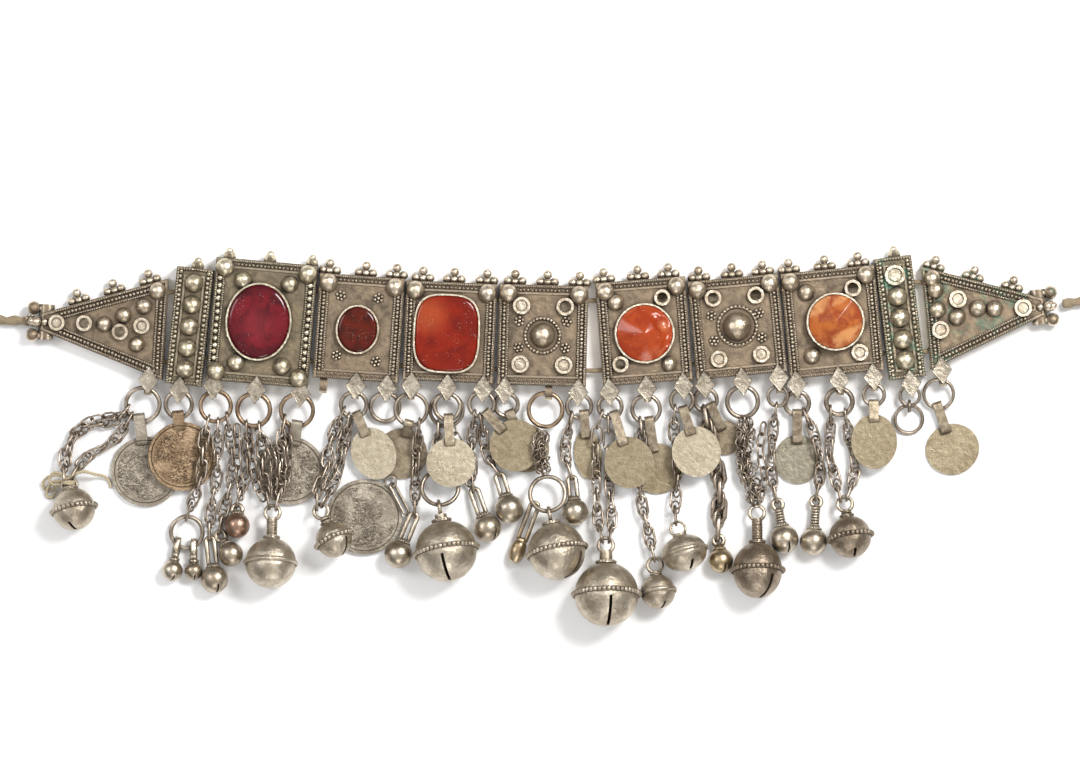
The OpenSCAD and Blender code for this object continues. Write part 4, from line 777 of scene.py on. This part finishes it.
def bellBelts(d):
    # a ring round the neck's foot, then the belt
    pin, mid, r, share, kind = np.array(d[:3]), np.array(d[3:6]), *d[6:]
    axis, n = unit(pin - mid), belts["neck"]
    radius = max(n["least"], n["share"] * r) * n["fit"]
    parts = [grainRing(mid, axis, radius, r * share + n["above"], n["gap"], n["size"])]
    return parts + [grainRing(mid, axis, r + out, along, gap, size) for out, along, gap, size in belts[kind]]


def ballCollars(b):
    mid, r = np.array(b[3:6]), b[6]
    axis = unit(np.array(b[:3]) - mid)
    return [grainRing(mid, axis, out * r, along * r, gap, size) for out, along, gap, size in belts["collars"]]


bellMaterial = agedMetal("bellSilver", "bell", polish=0.26, dents=0.00024, crease=2.2, patches=[
    (64.6, -39.9, 9.4, "darkBell"), (64.5, -27.0, 4.0, "darkBell"), (92.4, -29.9, 8.4, "darkBell")])
ballMaterial = agedMetal("ballSilver", "bell", polish=0.22, dents=0.00012, crease=1.4, patches=[
    (-91.5, -26.6, 4.0, "copper"), (53.7, -37.1, 5.2, "brass"), (-6.6, -32.5, 5.2, "brass")])
parts = [part for d in drops.values() for part in bellBelts(d)]
pieceFrom("bellBeading", *joined(parts), bellMaterial, "bell_silver", lowest=groundGap)


# stouter loops and ribbed necks, also on the balls whose numbers are in looped
neckWires = dict(wire=0.58, rib=0.42, step=0.86, bellLoop=2.2, ballLoop=1.5, under=0.5, over=0.2, neck=0.75,
                 widening=0.072, upright=("bell_4", "bell_5"), looped=(3, 4, 10, 11, 12))


def torusAt(centre, u, v, big, small, around=28, sides=7):
    # circle of radius small carried round a circle of radius big in the plane of u and v
    a, b = anglesRound(around)[:, None, None], anglesRound(sides)[None, :, None]
    w = np.cross(u, v)
    points = centre + (big + small * np.cos(b)) * (np.cos(a) * u + np.sin(a) * v) + small * np.sin(b) * w
    return points.reshape(-1, 3), gridFaces(around, sides, closed=True, turned=True)


def neckParts(drop, share, loop, upright, v):
    # the loop's wire, then rings square to the axis from the loop down to the body
    pin, mid, r = np.array(drop[:3]), np.array(drop[3:6]), drop[6]
    length = np.linalg.norm(mid - pin)
    axis = (mid - pin) / length
    side, above = squareTo(axis)
    parts = [torusAt(pin + axis * loop, axis, above if upright else side, loop, v["wire"])]
    for down in np.arange(2 * loop + v["under"], length - r * share - v["over"], v["step"]):
        parts.append(torusAt(pin + axis * down, side, above, v["neck"] + v["widening"] * r, v["rib"]))
    return parts


parts = []
for name, d in drops.items():
    parts += neckParts(d, d[7], neckWires["bellLoop"], name in neckWires["upright"], neckWires)
for n in neckWires["looped"]:
    parts += neckParts(balls[n], 1, neckWires["ballLoop"], False, neckWires)
pieceFrom("neckWires", *joined(parts), bellMaterial, "bell_silver")
print("necks wound")

parts = [part for b in balls if b[6] > belts["collarsFrom"] for part in ballCollars(b)]
pieceFrom("ballCollars", *joined(parts), ballMaterial, "bell_silver", lowest=groundGap)
print("bells beaded")


# tangled chains
tangles = dict(
    bundle_middle=dict(route=[(0.5, 0.6, 5.8), (-0.6, -3, 6.1), (-0.4, -7, 6.1), (0.9, -10.4, 5.8)],
                       across=(2.9, 1.8), count=44, long=3.0, wide=2.2, wire=0.42, seed=3),
    bundle_right=dict(route=[(61.3, 4.5, 4.2), (60.6, -3, 4), (61.2, -9, 3.6), (63.2, -14.5, 3.6),
                             (64.3, -19.7, 3.6)],
                      across=(2.9, 1.8), count=98, long=3.6, wide=2.3, wire=0.46, seed=5),
)
tangleLinks = dict(inside=0.75, loose=0.55, level=0.35, flat=0.9, around=14, sides=6, lowest=0.1)


def linkTangle(t, v):
    # stadium-shaped links with random turns, spread through a flattened tube along the route
    r = np.random.default_rng(t["seed"])
    line = evenly(curveThrough(t["route"], 12), 0.5)
    n, last = t["count"], len(line) - 1
    at = ((np.arange(n) + r.uniform(0, 1, n)) / n * last).astype(int)
    way = unit(line[np.minimum(at + 2, last)] - line[at] + 1e-6)
    spin, out = r.uniform(0, 2 * math.pi, n), np.sqrt(r.uniform(0.05, 1, n))
    reach = np.array(t["across"]) - t["wire"] / 2 - v["inside"]
    side = np.stack([-way[:, 1], way[:, 0], np.zeros(n)], -1)
    middle = line[at] + side * (reach[0] * out * np.cos(spin))[:, None]
    middle[:, 2] += reach[1] * out * np.sin(spin)
    x = unit(way + r.normal(0, v["loose"], (n, 3)) * np.array([1, 1, v["level"]]))
    y = unit(np.cross(r.normal(0, 1, (n, 3)), x))
    a = anglesRound(v["around"])
    along = np.cos(a) * t["wide"] / 2 + np.sign(np.cos(a)) * (t["long"] - t["wide"]) / 2
    across = np.sin(a) * t["wide"] / 2 * v["flat"]
    loops = [m + along[:, None] * p + across[:, None] * q for m, p, q in zip(middle, x, y)]
    return joined([tubeAlong(loop, t["wire"] / 2, v["sides"], closed=True) for loop in loops])


# chains: each link gets more metal round its wire, heavy ones from a given length. A second link joins two
# links of one node where the distance between them, as a share of a link's length, and their line allow it
chainMaterial = agedMetal("chainSilver", "chain", polish=0.24, dents=0.00006, crease=0.8)
chainDetail = dict(
    thicker=0.07, heavy=0.22, fatFrom=7.4, widest=5, apart=(0.6, 0.95), inLine=0.86,
    light=dict(long=4.5, wide=3.3, wire=0.56), fat=dict(long=6.4, wide=4.7, wire=1.25),
)
flatTo = 0.16    # greatest thickness of one link or ring, as a share of its length


def mergedCopy(name):
    # the node's triangles with shared corners, in millimetres, with the shell that each corner is in
    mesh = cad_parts[name].data
    points = np.empty(len(mesh.vertices) * 3)
    mesh.vertices.foreach_get("co", points)
    mesh.calc_loop_triangles()
    faces = np.empty(len(mesh.loop_triangles) * 3, dtype=np.int64)
    mesh.loop_triangles.foreach_get("vertices", faces)
    points, faces = points.reshape(-1, 3) / mm, faces.reshape(-1, 3)
    corners, back = np.unique(np.round(points, 5), axis=0, return_inverse=True)
    faces = back.reshape(-1)[faces]
    faces = faces[(faces[:, 0] != faces[:, 1]) & (faces[:, 1] != faces[:, 2]) & (faces[:, 0] != faces[:, 2])]
    shell = np.arange(len(corners))
    while True:
        lowest = shell[faces].min(1)
        after = shell.copy()
        for k in range(3):
            np.minimum.at(after, faces[:, k], lowest)
        after = after[after]
        if (after == shell).all():
            return corners, faces, shell
        shell = after


def thickened(points, faces, by):
    # every corner moves outwards along its normal
    corner = points[faces]
    across = np.cross(corner[:, 1] - corner[:, 0], corner[:, 2] - corner[:, 0])
    normal = np.zeros_like(points)
    for k in range(3):
        np.add.at(normal, faces[:, k], across)
    normal /= np.linalg.norm(normal, axis=1)[:, None] + 1e-12
    return points + normal * np.reshape(by, (-1, 1))


def stadium(middle, x, y, v, around=16, sides=7):
    # one link in the plane of x and y: a circle carried round a stadium, or round a circle where long = wide
    a = (np.arange(around) + 0.5) / around * 2 * math.pi
    b = anglesRound(sides)[None, :, None]
    r, run = (v["wide"] - v["wire"]) / 2, (v["long"] - v["wide"]) / 2
    line = middle + np.outer(np.cos(a) * r + np.sign(np.cos(a)) * run, x) + np.outer(np.sin(a) * r, y)
    way = unit(np.roll(line, -1, 0) - np.roll(line, 1, 0))
    square = np.cross(x, y)
    out = np.cross(way, square)[:, None]
    points = line[:, None] + v["wire"] / 2 * (np.cos(b) * out + np.sin(b) * square)
    return points.reshape(-1, 3), gridFaces(around, sides, closed=True, turned=True)


def shellFrames(name):
    # middle, long and wide axis and extents of each link or ring of a node
    points, faces, shell = mergedCopy(name)
    frames = []
    for first in np.unique(shell[faces[:, 0]]):
        own = points[shell == first]
        middle = (own.max(0) + own.min(0)) / 2
        length, turn = np.linalg.eigh(np.cov((own - middle).T))
        size = 2 * np.abs((own - middle) @ turn[:, ::-1]).max(0)
        used, back = np.unique(faces[shell[faces[:, 0]] == first], return_inverse=True)
        frames.append((middle, turn[:, 2], turn[:, 1], dict(long=size[0], wide=size[1], wire=size[2]),
                       (points[used], back.reshape(-1, 3))))
    return frames


def stouter(f, more, around, sides):
    # the same link or ring on the same centreline, with more metal round its wire, in triangles;
    # two links that meet are no such form, and keep their own triangles
    middle, x, y, size, own = f
    if size["wire"] > flatTo * size["long"]:
        return thickened(*own, more), own[1]
    points, faces = stadium(middle, x, y, {key: value + 2 * more for key, value in size.items()}, around, sides)
    return points, np.vstack([faces[:, :3], faces[:, [0, 2, 3]]])


def secondLinks(frames, v):
    # one more link across each joint, half turned between its neighbours
    extra = []
    for i, (a, ax, ay, size, _) in enumerate(frames):
        for b, bx, by, _, _ in frames[i + 1:]:
            gap = np.linalg.norm(b - a)
            x, near = (b - a) / gap, v["apart"][0] < gap / size["long"] < v["apart"][1]
            if size["wide"] > v["widest"] or not near or min(abs(x @ ax), abs(x @ bx)) < v["inLine"]:
                continue
            y = ay + by if ay @ by > 0 else ay - by
            form = v["fat" if size["long"] > v["fatFrom"] else "light"]
            extra.append(stadium((a + b) / 2, x, unit(y - (y @ x) * x), form))
    return extra


for name in [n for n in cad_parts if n.startswith("chain")]:
    frames = shellFrames(name)
    links = []
    for f in frames:
        heavy = f[3]["long"] > chainDetail["fatFrom"] > f[3]["wide"]
        links.append(stouter(f, chainDetail["heavy" if heavy else "thicker"], 18, 8))
    pieceFrom(name + "Worn", *joined(links), chainMaterial, "chain_silver", lowest=groundGap, instead=name)
    extra = secondLinks(frames, chainDetail)
    if extra:
        pieceFrom(name + "SecondLinks", *joined(extra), chainMaterial, "chain_silver", lowest=groundGap)
    print(name, "links and", len(extra), "second links")

# strands that the source leaves out, hung loose between the others, each from a ring to a drop
fineStrands = dict(
    long=4.7, wide=3.1, wire=0.62, step=3.35, turns=(-52, 38),
    routes=[
        [(-91.5, 3.6, 2.8), (-91.6, -6, 3.6), (-90.6, -13, 3.5), (-90.4, -18.6, 3.6)],
        [(-88.2, 2.4, 2.9), (-87, -6, 3.8), (-86.2, -13, 3.6), (-83.6, -19, 3.4)],
        [(-85.6, 2.0, 3.4), (-81.2, -4, 3.9), (-80.4, -12, 3.9), (-80.4, -18.4, 3.9)],
        [(-77, 3.6, 3.2), (-75.6, -4, 3.8), (-76.4, -12, 3.9), (-78.6, -18.6, 3.8)],
        [(-57.4, 4.4, 2.6), (-60.6, -2, 3.7), (-61.4, -8, 4.2), (-65.4, -15.4, 5.6)],
        [(-125, 6.6, 2.8), (-131, 6.2, 2.8), (-137.4, 4.4, 2.9), (-141.4, -1.4, 3.0), (-142.4, -8.6, 4.2)],
        [(-27.6, 4.0, 3.4), (-24.4, -3, 2.6), (-23.6, -10, 2.4), (-21.4, -14.6, 2.4)],
        [(66.6, 4.2, 3.4), (65.4, -4, 3.6), (66.8, -12, 3.4), (65.4, -19.4, 3.6)],
    ],
)


def strand(route, v):
    # links at equal steps, each turned a right angle to the one before it
    line = evenly(curveThrough(route, 12), v["step"])
    parts = []
    for i, (a, b) in enumerate(zip(line[:-1], line[1:])):
        x = unit(b - a)
        side, above = squareTo(x)
        turn = math.radians(v["turns"][i % 2])
        parts.append(stadium((a + b) / 2, x, side * math.cos(turn) + above * math.sin(turn), v))
    return parts


parts = [link for route in fineStrands["routes"] for link in strand(route, fineStrands)]
pieceFrom("fineStrands", *joined(parts), chainMaterial, "chain_silver", lowest=groundGap)
print("fine strands hung")

# only what lies outside the balls gets stouter, from a distance on and in full after the ramp
bailDetail = dict(stouter=0.30, starts=0.2, ramp=0.6)
for name in ("balls_left", "balls_right"):
    points, faces, shell = mergedCopy(name)
    away = np.min([np.linalg.norm(points - np.array(b[3:6]), axis=1) - b[6] for b in balls], axis=0)
    swell = bailDetail["stouter"] * np.clip((away - bailDetail["starts"]) / bailDetail["ramp"], 0, 1)
    pieceFrom(name + "Worn", thickened(points, faces, swell), faces, ballMaterial, "bell_silver",
              lowest=groundGap, instead=name)
print("ball bails stouter")

for name, t in tangles.items():
    pieceFrom(name + "Links", *linkTangle(t, tangleLinks), chainMaterial, "brassy_chain",
              lowest=tangleLinks["lowest"], instead=name)
print("chains tangled")


# cotton bow on the first bell: loose strands, and a winding round the bell's loop
bow = dict(
    thick=1.05, plies=2, pitch=2.4, step=0.25, lowest=0.05,
    wrap=dict(middle=(-141.95, -13.6, 5.2), radius=1.75, turns=2.3, drift=0.05, lean=0.25),
    strands=[
        [(-142.4, -12.9, 5.6), (-140.6, -11.2, 5.4), (-137.6, -10.4, 4.4), (-134.2, -11.2, 2.8),
         (-131.4, -11.9, 1.2), (-129.9, -13.6, 0.6), (-129.6, -15.2, 0.6)],
        [(-142.2, -12.6, 5.7), (-145.6, -11.4, 4.4), (-148.9, -12.4, 2.4), (-149.9, -14.9, 0.9),
         (-148.3, -16.1, 0.8), (-145.6, -14.6, 2.6), (-143.2, -13.2, 5.0)],
        [(-142.8, -13.2, 5.6), (-146.4, -13.4, 3.4), (-148.6, -15.6, 1.6), (-148.8, -17.8, 0.7),
         (-147.2, -18.0, 0.6), (-146.0, -16.2, 1.4)],
        [(-142.9, -12.9, 6.0), (-144.6, -10.9, 5.0), (-146.8, -11.0, 3.6), (-147.9, -13.0, 3.2),
         (-146.2, -14.4, 3.6), (-143.4, -13.8, 5.2)],
    ],
)


def winding(w):
    # a circle in x and z that drifts down y
    a = np.linspace(0, w["turns"] * 2 * math.pi, 46)
    x, y, z = w["middle"]
    return np.stack([x + w["radius"] * np.cos(a), y - a * w["drift"] + w["lean"] * np.sin(a),
                     z + w["radius"] * np.sin(a)], -1)


lines = [curveThrough(s, 8) for s in bow["strands"]] + [winding(bow["wrap"])]
parts = [tubeAlong(evenly(s, bow["step"]), bow["thick"] / 2, 8, bow["plies"], bow["pitch"]) for s in lines]
bowCotton = cottonMaterial("bowCotton", (0.70, 0.60, 0.42), (0.42, 0.34, 0.21))
pieceFrom("cottonBow", *joined(parts), bowCotton, "cotton_cord", lowest=bow["lowest"])
print("bow tied")


# finishes of the other pieces: middle, radius and turn of each coin's pattern
coinSpots = dict(coin_1=((-119.0, -10.4), 10.5, 0.4), coin_2=((-108.0, -5.8), 10.3, 1.3),
                 coin_3=((-75.6, -10.1), 10.2, 2.2), coin_4=((-53.3, -24.0), 11.3, 2.9))
# middle, radius and upper face of each disc, and its tone
discs = dict(
    disc_1=(-50.6, -5.0, 8.0, 2.95, "paleDisc"), disc_2=(-42.1, -5.0, 7.6, 0.80, "darkDisc"),
    disc_3=(-27.3, -7.7, 7.4, 5.85, "paleDisc"), disc_4=(-8.0, -2.6, 7.8, 4.05, "disc"),
    disc_5=(-4.9, -3.3, 7.4, 0.80, "disc"), disc_6=(13.9, -5.3, 7.5, 0.80, "disc"),
    disc_7=(26.1, -7.7, 7.8, 5.85, "disc"), disc_8=(34.5, -9.5, 7.6, 0.80, "disc"),
    disc_9=(46.3, -4.4, 7.6, 6.65, "paleDisc"), disc_10=(55.2, -0.3, 5.1, 0.80, "darkDisc"),
    disc_11=(76.8, -6.8, 7.4, 0.80, "greenDisc"), disc_12=(99.7, -1.4, 8.2, 5.45, "disc"),
    disc_13=(123.3, -3.7, 8.1, 0.80, "disc"),
)


def discMetal(name, x, y, reach, level, tone):
    # the disc's own tone on its face, the darker strap tone on what lies above it
    return agedMetal(name + "Beaten", "strap", polish=0.38, dents=0.00013, crease=1.6,
                     patches=[(x, y, reach + 0.4, tone, level)])


looks = {name: discMetal(name, *spot) for name, spot in discs.items()}
for name, (where, r, seed) in coinSpots.items():
    tone = "brownCoin" if name == "coin_2" else "greyCoin"
    relief = coinRelief(where, r - 0.2, seed)
    looks[name] = agedMetal(name + "Worn", tone, polish=0.40, dents=0.00030, relief=relief)

brassySpots = [(-98, 9, 6.0), (-86.6, 8, 6.0), (-73.6, 8, 6.4), (1, 8, 6.4)]
ringDetail = dict(more=0.11, around=44, sides=10)
ringMaterial = agedMetal("ringSilver", "ring", polish=0.26, dents=0.00010, crease=1.4,
                         patches=[(*spot, "brassyRing") for spot in brassySpots])
for name in [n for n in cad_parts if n.startswith(("jump_rings", "drop_rings"))]:
    rings = [stouter(f, **ringDetail) for f in shellFrames(name)]
    pieceFrom(name + "Worn", *joined(rings), ringMaterial, "ring_silver", lowest=groundGap, instead=name)
print("rings thickened")

for name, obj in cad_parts.items():
    # plates, discs and coins have their own metal, and every other node that is seen is a cord or a bell
    own = plateMaterials.get(name) or looks.get(name)
    obj.data.materials.clear()
    obj.data.materials.append(own or (cotton if name.startswith("stringing") else bellMaterial))
    obj.data.polygons.foreach_set("material_index", np.zeros(len(obj.data.polygons), dtype=np.int32))
print("finishes on", len(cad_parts), "nodes")


# floor
paper = dict(half=3, below=0.0001, tint=(0.93, 0.93, 0.935), rough=0.9, shine=0.1)
floorLook = Kit("paper")
floorLook.finish((*paper["tint"], 1), paper["rough"], Specular_IOR_Level=paper["shine"])
floorMesh = bpy.data.meshes.new("paper")
half, level = paper["half"], -paper["below"]
corners = [(-half, -half, level), (half, -half, level), (half, half, level), (-half, half, level)]
floorMesh.from_pydata(corners, [], [(0, 1, 2, 3)])
floorMesh.materials.append(floorLook.material)
floor = bpy.data.objects.new("paper", floorMesh)
bpy.context.collection.objects.link(floor)
